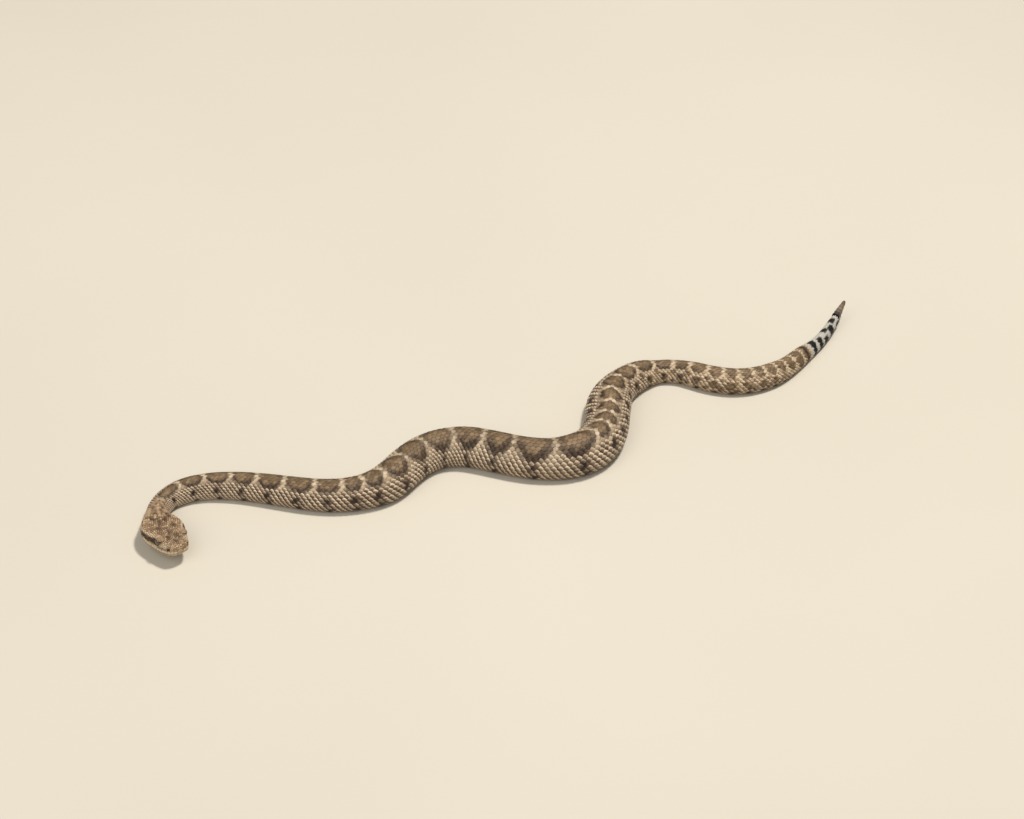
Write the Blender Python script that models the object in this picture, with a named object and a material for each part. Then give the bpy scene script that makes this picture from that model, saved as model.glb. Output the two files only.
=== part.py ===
"""A young western diamondback rattlesnake, about half a metre long, stretched in a loose S on the ground.

The whole animal follows one spine curve. Every solid is worked out in the spine's own terms: s, the
distance from the snout along the spine, y, to the animal's right, and z, up from the line that its
belly follows. Sizes are in millimetres until a mesh is made, and Blender's units are metres.
"""
import math

import bmesh
import bpy
import numpy as np

MM = 0.001
GAP = 0.3                  # clear space that two neighbouring solids keep

# Where the spine lies on the ground, seen from above, from the snout to the tip of the rattle.
ROUTE = [
    (-156.2, -159), (-162.4, -151.5), (-168.2, -143.8), (-172.3, -134.5), (-173.3, -125),
    (-170.5, -115.5), (-161.5, -106.5), (-145, -100), (-128, -98), (-109, -98), (-90, -97), (-74, -92),
    (-60.5, -82), (-51.5, -67), (-41, -53), (-27, -45.5), (-8, -45), (12, -46.5), (30, -43), (44, -33),
    (51, -18), (52, 0), (54, 17), (61, 31), (74, 43), (90, 47), (106, 44.5), (121, 45), (136, 52),
    (148, 63.5), (158, 78.5), (166.7, 92.2), (173.8, 107.7), (182.4, 129.5),
]
CENTRE = (0.85, -18.05)    # the middle of the animal's box in the route's own plan

# Distances from the snout at which the body is named, and parted.
HEAD_END = 30.0
NECK_END = 60.0
TRUNK_ENDS = (124.0, 184.0, 250.0, 298.0, 350.0, 412.0, 484.0)
TAIL_END = 520.0

# Knots (distance from the snout, size) of the body behind the head.
BODY_WIDTH = [
    (30, 15), (35, 12.4), (42, 12.4), (60, 14), (78, 15.2), (115, 17.6), (150, 19.4), (175, 22.2),
    (205, 22.4), (232, 23.8), (265, 24.2), (290, 25.4), (335, 25), (346, 22.6), (355, 20.4), (368, 18.2),
    (376, 16.4), (385, 13.9), (394, 14), (406, 15.3), (418, 15.8), (440, 15), (452, 14.1), (464, 12.3),
    (477, 11), (487, 9.2), (496, 7.8), (508, 6.9), (520, 5.8),
]
HEIGHT_SHARE = [(30, 0.70), (36, 0.80), (60, 0.84), (120, 0.82), (300, 0.79), (390, 0.83), (470, 0.86),
                (490, 0.94), (520, 1.0)]
BELLY_LIFT = [(0, 4.8), (18, 4.2), (32, 2.4), (52, 0), (484, 0), (502, 0.7), (520, 3.2), (534, 7.4)]
CLIMB_REACH = 0.5          # the belly line's slope is taken over this distance to each side

# The section of the body: a low ridge on a broad flank, on a flat belly.
FLANK_LEVEL = 0.38         # height of the widest place, as a share of the body's height
BELLY_SHARE = 0.64         # width of the flat belly, as a share of the body's width
RIDGE_POWER = 1.16         # above 1 the back rises to a soft ridge
FLANK_PART = 0.28          # share of the side's columns that lie below the widest place
BACK_COLUMNS = 14
BELLY_COLUMNS = 4

# Belly scutes: each is a plate that stands proud of the front of the next one.
SCUTE_LENGTH = 2.9
SCUTE_STEP = 0.35          # how far a scute's rear edge stands below the next one's front edge
SCUTE_RISE = 0.3           # share of a scute's length over which its front slopes down
SCUTE_LAP = 0.4            # length of the step between two scutes

# Knots (distance from the snout, size) of the head.
HEAD_HALF_WIDTH = [
    (0, 2.6), (0.5, 4.2), (1.5, 5.6), (4, 7.2), (7, 8.5), (9.5, 9.2), (13, 10.4), (16, 11.2), (18.5, 11.4),
    (21, 11.0), (24, 9.9), (27, 8.4), (30, 7.3), (33, 6.5),
]
HEAD_TOP = [
    (0, 6.2), (0.5, 7.0), (1.5, 7.8), (4, 8.5), (7, 9.1), (9.5, 9.6), (13, 10.0), (17, 10.5), (21, 10.9),
    (25, 11.1), (28, 10.9), (30, 10.7), (33, 10.3),
]
HEAD_CHIN = [(0, 3.3), (0.5, 2.5), (1.5, 1.7), (4, 0.8), (8, 0.2), (12, 0), (33, 0)]
HEAD_WIDEST = [(0, 4.6), (4, 4.4), (12, 4.3), (22, 4.6), (30, 4.2), (33, 4.0)]
HEAD_BOXINESS = [(0, 0.86), (4, 0.74), (12, 0.74), (22, 0.84), (28, 0.95), (33, 1.0)]
HEAD_RINGS = 30
HEAD_RING_CROWDING = 0.45  # 0 spaces the rings evenly, 1 crowds them all towards the snout
HEAD_SIDES = 32
LIP_SWELL = 0.25           # how far the lips stand out along the mouth
LIP_REACH = 1.3            # how far from the mouth the swelling reaches
LIP_END = 23.0             # where the swelling stops, behind the corner of the mouth

# The line of the mouth, seen from the side, from the snout to its corner, and the jaw's slanting end.
MOUTH_LINE = [(-2, 3.7), (0, 3.7), (3, 3.5), (7, 3.0), (11, 2.8), (16, 3.1), (20, 4.0)]
MOUTH_START = -2.0
MOUTH_CORNER = 20.0
MOUTH_STEPS = 24
JAW_HINGE = 23.5
CUTTER_HALF_WIDTH = 18.0
CUTTER_BOTTOM = -3.0
HINGE_BOTTOM = -2.5

EYE_RADIUS = 1.85
EYE_PLACE = (9.8, 7.6, 7.15)
BROW_RADII = (3.9, 2.4, 1.0)
BROW_PLACE = (10.0, 6.6, 9.35)
NOSTRIL_RADIUS = 0.55
NOSTRIL_PLACE = (2.6, 5.75, 6.3)
PIT_RADIUS = 0.75
PIT_PLACE = (5.4, 7.75, 5.4)

# Rattle: a dark matrix piece at the tail, then loose horny segments, and the button.
RATTLE_SEGMENTS = 5
RATTLE_LENGTH = 12.8
RATTLE_HEIGHT = [(0, 6.8), (4, 6.4), (8, 5.0), (12.8, 3.2)]
RATTLE_THICKNESS_SHARE = 0.78
RATTLE_GROOVE = 0.22       # depth of the furrow along each side, as a share of the half thickness
RATTLE_GROOVE_WIDTH = 0.3  # half width of the furrow, as a share of the half height
RATTLE_SIDES = 20
# Each segment's outline from its front to its rear: (share of its length, share of its full size).
RATTLE_LOBE = [(0, 0.74), (0.12, 0.92), (0.34, 1.0), (0.62, 1.0), (0.84, 0.88), (1, 0.66)]

# Finishes: (colour, roughness).
SKIN = ((0.30, 0.22, 0.14), 0.6)
TAIL_SKIN = ((0.55, 0.50, 0.44), 0.6)
EYE = ((0.12, 0.08, 0.03), 0.1)
RATTLE_MATRIX = ((0.03, 0.025, 0.02), 0.6)
RATTLE_HORN = ((0.32, 0.26, 0.18), 0.5)
SMOOTH_BELOW = math.radians(32)    # edges that bend less than this are shaded smooth


def smooth(at, knots):
    """Runs a smooth curve through the knots that never overshoots them (a monotone cubic)."""
    x, y = np.array(knots, dtype=float).T
    step = np.diff(x)
    slope = np.diff(y) / step
    tangent = np.concatenate([slope[:1], np.zeros(len(slope) - 1), slope[-1:]])
    for i in range(1, len(slope)):
        before, after = slope[i - 1], slope[i]
        if before * after > 0:
            tangent[i] = 2 * before * after / (before + after)
    at = np.clip(np.asarray(at, dtype=float), x[0], x[-1])
    i = np.clip(np.searchsorted(x, at, side="right") - 1, 0, len(step) - 1)
    t = (at - x[i]) / step[i]
    rise = t * t * (3 - 2 * t)
    return (y[i] * (1 - rise) + y[i + 1] * rise
            + step[i] * (tangent[i] * t * (1 - t) ** 2 - tangent[i + 1] * t * t * (1 - t)))


def spline_through(points, count):
    """Samples the natural cubic spline through the points, spaced by their chords."""
    points = np.array(points, dtype=float)
    knots = np.concatenate([[0], np.cumsum(np.linalg.norm(np.diff(points, axis=0), axis=1))])
    step = np.diff(knots)
    size = len(points)
    matrix = np.eye(size)
    wanted = np.zeros_like(points)
    for i in range(1, size - 1):
        matrix[i, i - 1:i + 2] = step[i - 1], 2 * (step[i - 1] + step[i]), step[i]
        wanted[i] = 6 * ((points[i + 1] - points[i]) / step[i] - (points[i] - points[i - 1]) / step[i - 1])
    bend = np.linalg.solve(matrix, wanted)
    at = np.linspace(0, knots[-1], count)
    i = np.clip(np.searchsorted(knots, at, side="right") - 1, 0, size - 2)
    h = step[i][:, None]
    near = ((knots[i + 1] - at)[:, None]) / h
    far = 1 - near
    return (near * points[i] + far * points[i + 1]
            + ((near ** 3 - near) * bend[i] + (far ** 3 - far) * bend[i + 1]) * h * h / 6)


SPINE = spline_through(ROUTE, 4000) - np.array(CENTRE)
SPINE_S = np.concatenate([[0], np.cumsum(np.linalg.norm(np.diff(SPINE, axis=0), axis=1))])
SPINE_HEADING = np.unwrap(np.arctan2(*np.gradient(SPINE, SPINE_S, axis=0).T[::-1]))


def place(s, y, z):
    """Turns spine terms into points in space; y runs to the animal's right, z up from its belly line."""
    s, y, z = np.broadcast_arrays(*(np.asarray(v, dtype=float) for v in (s, y, z)))
    inside = np.clip(s, 0, SPINE_S[-1])
    heading = np.interp(inside, SPINE_S, SPINE_HEADING)
    rise = smooth(inside + CLIMB_REACH, BELLY_LIFT) - smooth(inside - CLIMB_REACH, BELLY_LIFT)
    climb = np.arctan2(rise, 2 * CLIMB_REACH)
    along = s - inside - z * np.sin(climb)
    x_out = np.interp(inside, SPINE_S, SPINE[:, 0]) + along * np.cos(heading) - y * np.sin(heading)
    y_out = np.interp(inside, SPINE_S, SPINE[:, 1]) + along * np.sin(heading) + y * np.cos(heading)
    z_out = smooth(inside, BELLY_LIFT) + z * np.cos(climb)
    return np.stack([x_out, y_out, z_out], axis=-1)


def material(name, finish):
    colour, roughness = finish
    made = bpy.data.materials.new(name)
    made.use_nodes = True
    shader = made.node_tree.nodes["Principled BSDF"]
    shader.inputs["Base Color"].default_value = (*colour, 1)
    shader.inputs["Roughness"].default_value = roughness
    shader.inputs["Metallic"].default_value = 0
    made.diffuse_color = (*colour, 1)
    return made


def solid(name, points, faces, finish):
    """Makes one named object from points in millimetres, with its origin in its own middle."""
    points = np.asarray(points, dtype=float) * MM
    middle = (points.min(axis=0) + points.max(axis=0)) / 2
    mesh = bpy.data.meshes.new(name)
    mesh.from_pydata((points - middle).tolist(), [], faces)
    shape = bmesh.new()
    shape.from_mesh(mesh)
    bmesh.ops.recalc_face_normals(shape, faces=shape.faces)
    shape.to_mesh(mesh)
    shape.free()
    mesh.materials.append(material(name, finish))
    mesh.shade_smooth()
    mesh.set_sharp_from_angle(angle=SMOOTH_BELOW)
    made = bpy.data.objects.new(name, mesh)
    made.location = middle
    bpy.context.collection.objects.link(made)
    return made


def ring_faces(rings, sides):
    """Lists the quads between rings of points, and closes both ends."""
    faces = [tuple(range(sides))[::-1], tuple(range((rings - 1) * sides, rings * sides))]
    for ring in range(rings - 1):
        for side in range(sides):
            here, there = ring * sides + side, ring * sides + (side + 1) % sides
            faces.append((here, there, there + sides, here + sides))
    return faces


def loft(name, s_values, section, finish):
    """Joins the sections at the given distances into one closed solid."""
    rings = [place(s, *section(s)) for s in s_values]
    return solid(name, np.concatenate(rings), ring_faces(len(rings), len(rings[0])), finish)


def keep_largest(mesh):
    """Drops every closed surface of the mesh but the largest, such as a scrap parted off by a cut."""
    shape = bmesh.new()
    shape.from_mesh(mesh)
    unseen = set(shape.faces)
    largest = set()
    while unseen:
        surface = set()
        edge_of_search = [unseen.pop()]
        while edge_of_search:
            face = edge_of_search.pop()
            surface.add(face)
            beside = {other for edge in face.edges for other in edge.link_faces} & unseen
            unseen -= beside
            edge_of_search.extend(beside)
        largest = max(largest, surface, key=len)
    loose = [face for face in shape.faces if face not in largest]
    bmesh.ops.delete(shape, geom=loose, context="FACES")
    shape.to_mesh(mesh)
    shape.free()


def combine(target, other, operation):
    """Cuts, joins or keeps what two solids share, and removes the other one."""
    bpy.context.view_layer.update()
    change = target.modifiers.new(operation.lower(), "BOOLEAN")
    change.operation = operation
    change.object = other
    change.solver = "EXACT"
    seen = bpy.context.evaluated_depsgraph_get()
    result = bpy.data.meshes.new_from_object(target.evaluated_get(seen))
    target.modifiers.clear()
    keep_largest(result)
    target.data = result
    bpy.data.objects.remove(other)


def ball(name, s, y, z, radii, finish, segments=20, rings=12):
    """A ball or egg set in spine terms, its poles pointing out to the sides."""
    turn = np.linspace(0, 2 * math.pi, segments, endpoint=False)
    rise = np.linspace(0, math.pi, rings + 1)[1:-1]
    along = np.outer(np.sin(rise), np.cos(turn)).ravel()
    up = np.outer(np.sin(rise), np.sin(turn)).ravel()
    out = np.repeat(np.cos(rise), segments)
    along, up, out = (np.concatenate([v, pole]) for v, pole in ((along, [0, 0]), (up, [0, 0]), (out, [1, -1])))
    points = place(s + along * radii[0], y + out * radii[1], z + up * radii[2])
    last = segments * (rings - 2)
    first_pole = segments * (rings - 1)
    faces = []
    for side in range(segments):
        after = (side + 1) % segments
        faces.append((first_pole, side, after))
        faces.append((first_pole + 1, last + after, last + side))
        for ring in range(rings - 2):
            base = ring * segments
            faces.append((base + side, base + segments + side, base + segments + after, base + after))
    return solid(name, points, faces, finish)


def back_outline(s):
    """The body's section over the back, from the left edge of the belly to the right one."""
    half = smooth(s, BODY_WIDTH) / 2
    height = smooth(s, BODY_WIDTH) * smooth(s, HEIGHT_SHARE)
    belly = half * BELLY_SHARE
    level = height * FLANK_LEVEL
    share = np.linspace(0, 1, BACK_COLUMNS // 2 + 1)
    low = (share / FLANK_PART - 1) * math.pi / 2
    high = (share - FLANK_PART) / (1 - FLANK_PART) * math.pi / 2
    below = share < FLANK_PART
    across = np.where(below, belly + (half - belly) * np.cos(np.minimum(low, 0)),
                      half * np.abs(np.cos(np.maximum(high, 0))) ** RIDGE_POWER)
    up = np.where(below, level + level * np.sin(np.minimum(low, 0)),
                  level + (height - level) * np.abs(np.sin(np.maximum(high, 0))) ** RIDGE_POWER)
    across[-1] = 0
    return np.concatenate([-across, across[-2::-1]]), np.concatenate([up, up[-2::-1]])


def body_length(name, start, end, scutes_a_ring, finish):
    """One length of the body, with its row of belly scutes.

    Each scute has three rows of points across the belly: a front edge set up into the body, the place
    where its slope has come down to the belly line, and its rear edge. The back has one ring for every
    one or two scutes.
    """
    start, end = start + GAP / 2, end - GAP / 2
    spans = max(1, round((end - start) / SCUTE_LENGTH / scutes_a_ring))
    count = spans * scutes_a_ring
    length = (end - start) / count
    points, backs, bellies = [], [], []

    def add(s, y, z):
        first = sum(len(row) for row in points)
        points.append(place(s, y, z))
        return list(range(first, first + len(points[-1])))

    def belly_row(s, lift):
        half = smooth(s, BODY_WIDTH) / 2 * BELLY_SHARE
        across = np.linspace(half, -half, BELLY_COLUMNS + 1)
        return add(s, across, np.full_like(across, lift))

    for span in range(spans + 1):
        s = start + span * scutes_a_ring * length
        y, z = back_outline(s)
        backs.append(add(s, y[1:-1], z[1:-1]))
    for number in range(count):
        s = start + number * length
        bellies.append(belly_row(s, SCUTE_STEP))
        bellies.append(belly_row(s + length * SCUTE_RISE, 0))
        bellies.append(belly_row(s + length - SCUTE_LAP * (number < count - 1), 0))
    faces = [tuple(bellies[0] + backs[0])[::-1], tuple(bellies[-1] + backs[-1])]
    rows_a_span = 3 * scutes_a_ring
    for span in range(spans):
        near, far = backs[span], backs[span + 1]
        for column in range(len(near) - 1):
            faces.append((near[column], near[column + 1], far[column + 1], far[column]))
        rows = bellies[rows_a_span * span:rows_a_span * (span + 1) + 1]
        for row, after in zip(rows, rows[1:]):
            for column in range(BELLY_COLUMNS):
                faces.append((row[column], row[column + 1], after[column + 1], after[column]))
        faces.append(tuple([row[-1] for row in rows] + [far[0], near[0]]))
        faces.append(tuple([row[0] for row in rows] + [far[-1], near[-1]]))
    return solid(name, np.concatenate(points), faces, finish)


def head_section(s):
    """The head's outline at s: a flat crown on steep cheeks, with the lips swelling along the mouth."""
    half, top, chin = (smooth(s, knots) for knots in (HEAD_HALF_WIDTH, HEAD_TOP, HEAD_CHIN))
    level = smooth(s, HEAD_WIDEST)
    power = smooth(s, HEAD_BOXINESS)
    angle = np.linspace(0, 2 * math.pi, HEAD_SIDES, endpoint=False)
    across = np.sign(np.cos(angle)) * np.abs(np.cos(angle)) ** power
    up = np.sign(np.sin(angle)) * np.abs(np.sin(angle)) ** power
    z = level + np.where(up > 0, (top - level) * up, (level - chin) * up)
    swell = LIP_SWELL * np.exp(-((z - smooth(s, MOUTH_LINE)) / LIP_REACH) ** 2) * (s < LIP_END)
    return across * (half + swell * min(1.0, s)), z


def mouth_cutter(extra):
    """A block that takes in all below the line of the mouth, as far back as the jaw's hinge."""
    places = np.linspace(MOUTH_START, MOUTH_CORNER, MOUTH_STEPS)
    edge = [(s, float(smooth(s, MOUTH_LINE)) + extra) for s in places]
    edge.append((MOUTH_CORNER + extra, edge[-1][1]))
    edge.append((JAW_HINGE + extra, HINGE_BOTTOM))
    across = np.array([-1, 1, 1, -1]) * CUTTER_HALF_WIDTH
    rings = []
    for s, top in edge:
        rings.append(place(s, across, np.array([top, top, CUTTER_BOTTOM, CUTTER_BOTTOM])))
    return solid("mouth_cutter", np.concatenate(rings), ring_faces(len(rings), 4), SKIN)


def head_ring_places():
    """Distances of the head's rings, close together at the blunt snout and even behind it."""
    even = np.linspace(0, 1, HEAD_RINGS)
    crowded = HEAD_RING_CROWDING * even ** 2 + (1 - HEAD_RING_CROWDING) * even
    return (HEAD_END - GAP / 2) * crowded


def build_head():
    """Head and lower jaw, parted along the mouth, with brows, nostrils, heat pits and eyes."""
    head = loft("head", head_ring_places(), head_section, SKIN)
    for side in (-1, 1):
        s, y, z = BROW_PLACE
        combine(head, ball("brow", s, side * y, z, BROW_RADII, SKIN, 16, 8), "UNION")
    jaw = head.copy()
    jaw.data = head.data.copy()
    jaw.name = "lower_jaw"
    jaw.data.materials[0] = material("lower_jaw", SKIN)
    bpy.context.collection.objects.link(jaw)
    combine(jaw, mouth_cutter(0), "INTERSECT")
    combine(head, mouth_cutter(GAP), "DIFFERENCE")
    hollows = [
        ("socket", EYE_PLACE, EYE_RADIUS + GAP, 18, 9),
        ("nostril", NOSTRIL_PLACE, NOSTRIL_RADIUS, 10, 6),
        ("pit", PIT_PLACE, PIT_RADIUS, 12, 6),
    ]
    for side, word in ((1, "right"), (-1, "left")):
        for name, (s, y, z), radius, segments, rings in hollows:
            combine(head, ball(name, s, side * y, z, (radius,) * 3, SKIN, segments, rings), "DIFFERENCE")
        s, y, z = EYE_PLACE
        ball("eye_" + word, s, side * y, z, (EYE_RADIUS,) * 3, EYE, 18, 10)


def rattle_section(size, centre):
    """An upright oval with a furrow along each side, where the segment's lobes meet."""
    angle = np.linspace(0, 2 * math.pi, RATTLE_SIDES, endpoint=False)
    furrow = 1 - RATTLE_GROOVE * np.exp(-(np.sin(angle) / RATTLE_GROOVE_WIDTH) ** 2)
    across = np.cos(angle) * size / 2 * RATTLE_THICKNESS_SHARE * furrow
    return across, centre + np.sin(angle) * size / 2


def build_rattle():
    """The rattle's segments, each nested against the last, shrinking to the button at the tip."""
    length = RATTLE_LENGTH / RATTLE_SEGMENTS
    centre = float(smooth(0, RATTLE_HEIGHT)) / 2
    for number in range(RATTLE_SEGMENTS):
        first = number * length
        name = "rattle_base" if number == 0 else f"rattle_{number}"
        name = "rattle_button" if number == RATTLE_SEGMENTS - 1 else name
        rings = []
        for share, size_share in RATTLE_LOBE:
            along = first + GAP / 2 + share * (length - GAP)
            y, z = rattle_section(float(smooth(along, RATTLE_HEIGHT)) * size_share, centre)
            rings.append(place(TAIL_END + along, y, z))
        finish = RATTLE_MATRIX if number == 0 else RATTLE_HORN
        solid(name, np.concatenate(rings), ring_faces(len(rings), RATTLE_SIDES), finish)


def build():
    """Makes all of the animal's solids."""
    for old in list(bpy.data.objects):
        bpy.data.objects.remove(old)
    build_head()
    body_length("neck", HEAD_END, NECK_END, 1, SKIN)
    start = NECK_END
    for number, end in enumerate(TRUNK_ENDS, start=1):
        body_length(f"trunk_{number}", start, end, 2, SKIN)
        start = end
    body_length("tail", start, TAIL_END, 1, TAIL_SKIN)
    build_rattle()


build()
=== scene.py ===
"""A young western diamondback rattlesnake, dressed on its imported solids.

Sizes are in millimetres and become metres where points are placed in space. The animal is described in
its own terms: s is the distance from the snout along the spine, and g counts scale rows from the middle
of the back, 0, round the animal's right side to the middle of the belly, 16, and -16 round its left.
"""
import math

import bpy
import numpy as np
from mathutils import Euler, Matrix


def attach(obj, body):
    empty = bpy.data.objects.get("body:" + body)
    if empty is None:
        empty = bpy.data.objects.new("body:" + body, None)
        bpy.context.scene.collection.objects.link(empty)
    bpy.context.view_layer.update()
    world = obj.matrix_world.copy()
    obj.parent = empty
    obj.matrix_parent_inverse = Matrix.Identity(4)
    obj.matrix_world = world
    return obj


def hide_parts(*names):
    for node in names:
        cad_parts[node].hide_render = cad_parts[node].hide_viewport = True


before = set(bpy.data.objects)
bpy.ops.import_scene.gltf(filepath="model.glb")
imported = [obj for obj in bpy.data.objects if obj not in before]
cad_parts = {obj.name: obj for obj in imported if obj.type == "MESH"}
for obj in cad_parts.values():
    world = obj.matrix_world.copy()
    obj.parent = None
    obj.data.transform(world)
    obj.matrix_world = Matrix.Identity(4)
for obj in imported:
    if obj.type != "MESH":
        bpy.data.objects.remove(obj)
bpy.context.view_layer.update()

# Studio and camera. A pale floor, a small lamp high behind the tail, a wide soft one in front, and a
# camera that looks down at the photograph's slant, leaning a little to one side.
MM = 0.001                     # a millimetre in metres
CAMERA_DISTANCE = 1.75
CAMERA_SLANT = math.radians(40)
CAMERA_LEAN = math.radians(8)
CAMERA_LENS = 112.5
CENTRE = (0.85, -18.05)        # the middle of the animal's box in the plan that its route is drawn on

aim = Matrix.Translation((-CENTRE[0] * MM, -CENTRE[1] * MM, 0))
tilt = Euler((math.pi / 2 - CAMERA_SLANT, 0, 0)).to_matrix().to_4x4()
lean = Matrix.Rotation(CAMERA_LEAN, 4, "Z")
camera = bpy.data.objects.new("camera", bpy.data.cameras.new("camera"))
camera.data.lens = CAMERA_LENS
camera.matrix_world = aim @ tilt @ lean @ Matrix.Translation((0, 0, CAMERA_DISTANCE))
bpy.context.collection.objects.link(camera)
bpy.context.scene.camera = camera
bpy.context.scene.view_settings.view_transform = "Standard"


def lamp(name, place, size, power, colour):
    """A square soft lamp at that place that faces the animal."""
    data = bpy.data.lights.new(name, "AREA")
    data.size = size
    data.energy = power
    data.color = colour
    made = bpy.data.objects.new(name, data)
    made.location = place
    made.rotation_euler = (-made.location).to_track_quat("-Z", "Y").to_euler()
    bpy.context.collection.objects.link(made)


lamp("key", (0.42, 0.34, 2.1), 0.3, 45, (1.0, 0.95, 0.88))
lamp("fill", (-0.9, -1.3, 1.4), 1.6, 19, (1.0, 0.97, 0.93))
world = bpy.data.worlds.new("studio")
world.use_nodes = True
world.node_tree.nodes["Background"].inputs["Color"].default_value = (1.0, 0.97, 0.93, 1)
world.node_tree.nodes["Background"].inputs["Strength"].default_value = 0.3
bpy.context.scene.world = world


class Wire:
    """One output of a material's nodes. Plus, minus and times on it add Math nodes."""

    def __init__(self, paint, socket):
        self.paint = paint
        self.socket = socket

    def join(self, operation, first, second):
        """Adds the Math node that does this operation on the two."""
        return self.paint.node("ShaderNodeMath", {"operation": operation}, {0: first, 1: second})

    def __add__(self, other):
        return self.join("ADD", self, other)

    def __sub__(self, other):
        return self.join("SUBTRACT", self, other)

    def __rsub__(self, other):
        return self.join("SUBTRACT", other, self)

    def __mul__(self, other):
        return self.join("MULTIPLY", self, other)

    __radd__ = __add__
    __rmul__ = __mul__


class Paint:
    """A material under construction, whose nodes are added one call at a time."""

    def __init__(self, name):
        self.material = bpy.data.materials.new(name)
        self.material.use_nodes = True
        self.tree = self.material.node_tree
        self.shader = self.tree.nodes["Principled BSDF"]

    def node(self, kind, settings=None, inputs=None, output=0):
        """Adds a node of that kind, with its settings first and then its inputs' values or links."""
        made = self.tree.nodes.new(kind)
        for name, value in (settings or {}).items():
            setattr(made, name, value)
        self.feed(made, inputs or {})
        return Wire(self, made.outputs[output])

    def feed(self, node, inputs):
        """Sets each input of the node to its value, or links it to its wire."""
        for name, value in inputs.items():
            if isinstance(value, Wire):
                self.tree.links.new(value.socket, node.inputs[name])
            else:
                node.inputs[name].default_value = value

    def mask(self, name):
        """The value of one of the mesh's own attributes."""
        return self.node("ShaderNodeAttribute", {"attribute_name": name}, output=2)

    def mix(self, first, second, share, blend="MIX"):
        """A colour that goes from the first to the second as the share goes from 0 to 1."""
        settings = {"data_type": "RGBA", "blend_type": blend}
        return self.node("ShaderNodeMix", settings, {0: share, 6: first, 7: second}, output=2)

    def noise(self, scale, detail=2.0):
        """Cloudy noise around 0.5 over the object's own coordinates, in cells a metre."""
        where = self.node("ShaderNodeTexCoord", output=3)
        return self.node("ShaderNodeTexNoise", None, {"Vector": where, "Scale": scale, "Detail": detail})

    def clamp(self, value):
        """The value held between 0 and 1."""
        return self.node("ShaderNodeClamp", None, {"Value": value})

    def bump(self, strength, height):
        """The normal of a surface that the height, from 0 to 1, dents by a tenth of a millimetre."""
        inputs = {"Strength": strength, "Distance": 0.0001, "Height": height}
        return self.node("ShaderNodeBump", None, inputs)

    def finish(self, **inputs):
        """Feeds the shader's inputs, each named with _ for a space, and hands over the material."""
        self.feed(self.shader, {name.replace("_", " "): value for name, value in inputs.items()})
        return self.material


def tint(red, green, blue):
    """Turns a display colour, each part from 0 to 255, into the linear colour that a shader takes."""
    parts = (((part / 255 + 0.055) / 1.055) ** 2.4 for part in (red, green, blue))
    return (*parts, 1)


def add_mesh(name, points, faces, material):
    """Makes a smooth-shaded object at the origin from points in metres."""
    mesh = bpy.data.meshes.new(name)
    mesh.from_pydata(points, [], faces)
    mesh.materials.append(material)
    mesh.shade_smooth()
    made = bpy.data.objects.new(name, mesh)
    bpy.context.collection.objects.link(made)
    return made


FLOOR_HALF = 6.0
floor_paint = Paint("floor")
grey = floor_paint.mix(tint(196, 190, 176), tint(206, 200, 187), floor_paint.noise(3.0))
corners = np.array([(-1, -1, 0), (1, -1, 0), (1, 1, 0), (-1, 1, 0)]) * FLOOR_HALF
floor = add_mesh("floor", corners, [(0, 1, 2, 3)], floor_paint.finish(Base_Color=grey, Roughness=0.85))

# The body's form: one spine curve laid on the ground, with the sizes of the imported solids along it.
# Everything of the animal is placed by it. A list of pairs that start with s holds a curve's knots.
ROUTE = [                      # (x, y) in the plan, from the snout to the rattle
    (-156.2, -159), (-162.4, -151.5), (-168.2, -143.8), (-172.3, -134.5), (-173.3, -125),
    (-170.5, -115.5), (-161.5, -106.5), (-145, -100), (-128, -98), (-109, -98), (-90, -97), (-74, -92),
    (-60.5, -82), (-51.5, -67), (-41, -53), (-27, -45.5), (-8, -45), (12, -46.5), (30, -43), (44, -33),
    (51, -18), (52, 0), (54, 17), (61, 31), (74, 43), (90, 47), (106, 44.5), (121, 45), (136, 52),
    (148, 63.5), (158, 78.5), (166.7, 92.2), (173.8, 107.7), (182.4, 129.5),
]
TAIL_START = 484.0
TAIL_END = 520.0
WIDTH = [                      # (s, the body's width)
    (30, 15), (35, 12.4), (42, 12.4), (60, 14), (78, 15.2), (115, 17.6), (150, 19.4), (175, 22.2),
    (205, 22.4), (232, 23.8), (265, 24.2), (290, 25.4), (335, 25), (346, 22.6), (355, 20.4), (368, 18.2),
    (376, 16.4), (385, 13.9), (394, 14), (406, 15.3), (418, 15.8), (440, 15), (452, 14.1), (464, 12.3),
    (477, 11), (487, 9.2), (496, 7.8), (508, 6.9), (520, 5.8),
]
HEIGHT_SHARE = [               # (s, the body's height as a share of its width)
    (30, 0.70), (36, 0.80), (60, 0.84), (120, 0.82), (300, 0.79), (390, 0.83), (470, 0.86), (490, 0.94),
    (520, 1.0),
]
# How high the underside is off the ground
LIFT = [(0, 4.8), (18, 4.2), (32, 2.4), (52, 0), (484, 0), (502, 0.7), (520, 3.2), (534, 7.4)]
FLANK_LEVEL = 0.38             # level of the widest place, as a share of the height
BELLY_SHARE = 0.64             # width of the belly, as a share of the body's
RIDGE_POWER = 1.16             # above 1 the back rises to a low ridge
BACK_ROWS = 12.5               # scale rows from the middle of the back to the edge of the belly
HALF_GIRTH = 16.0              # rows from the middle of the back to the middle of the belly
TYPICAL_HEIGHT = 1.6           # of a section, in half widths
COAT_DEPTH = 0.5               # how far the bare skin lies inside the solids


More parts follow.
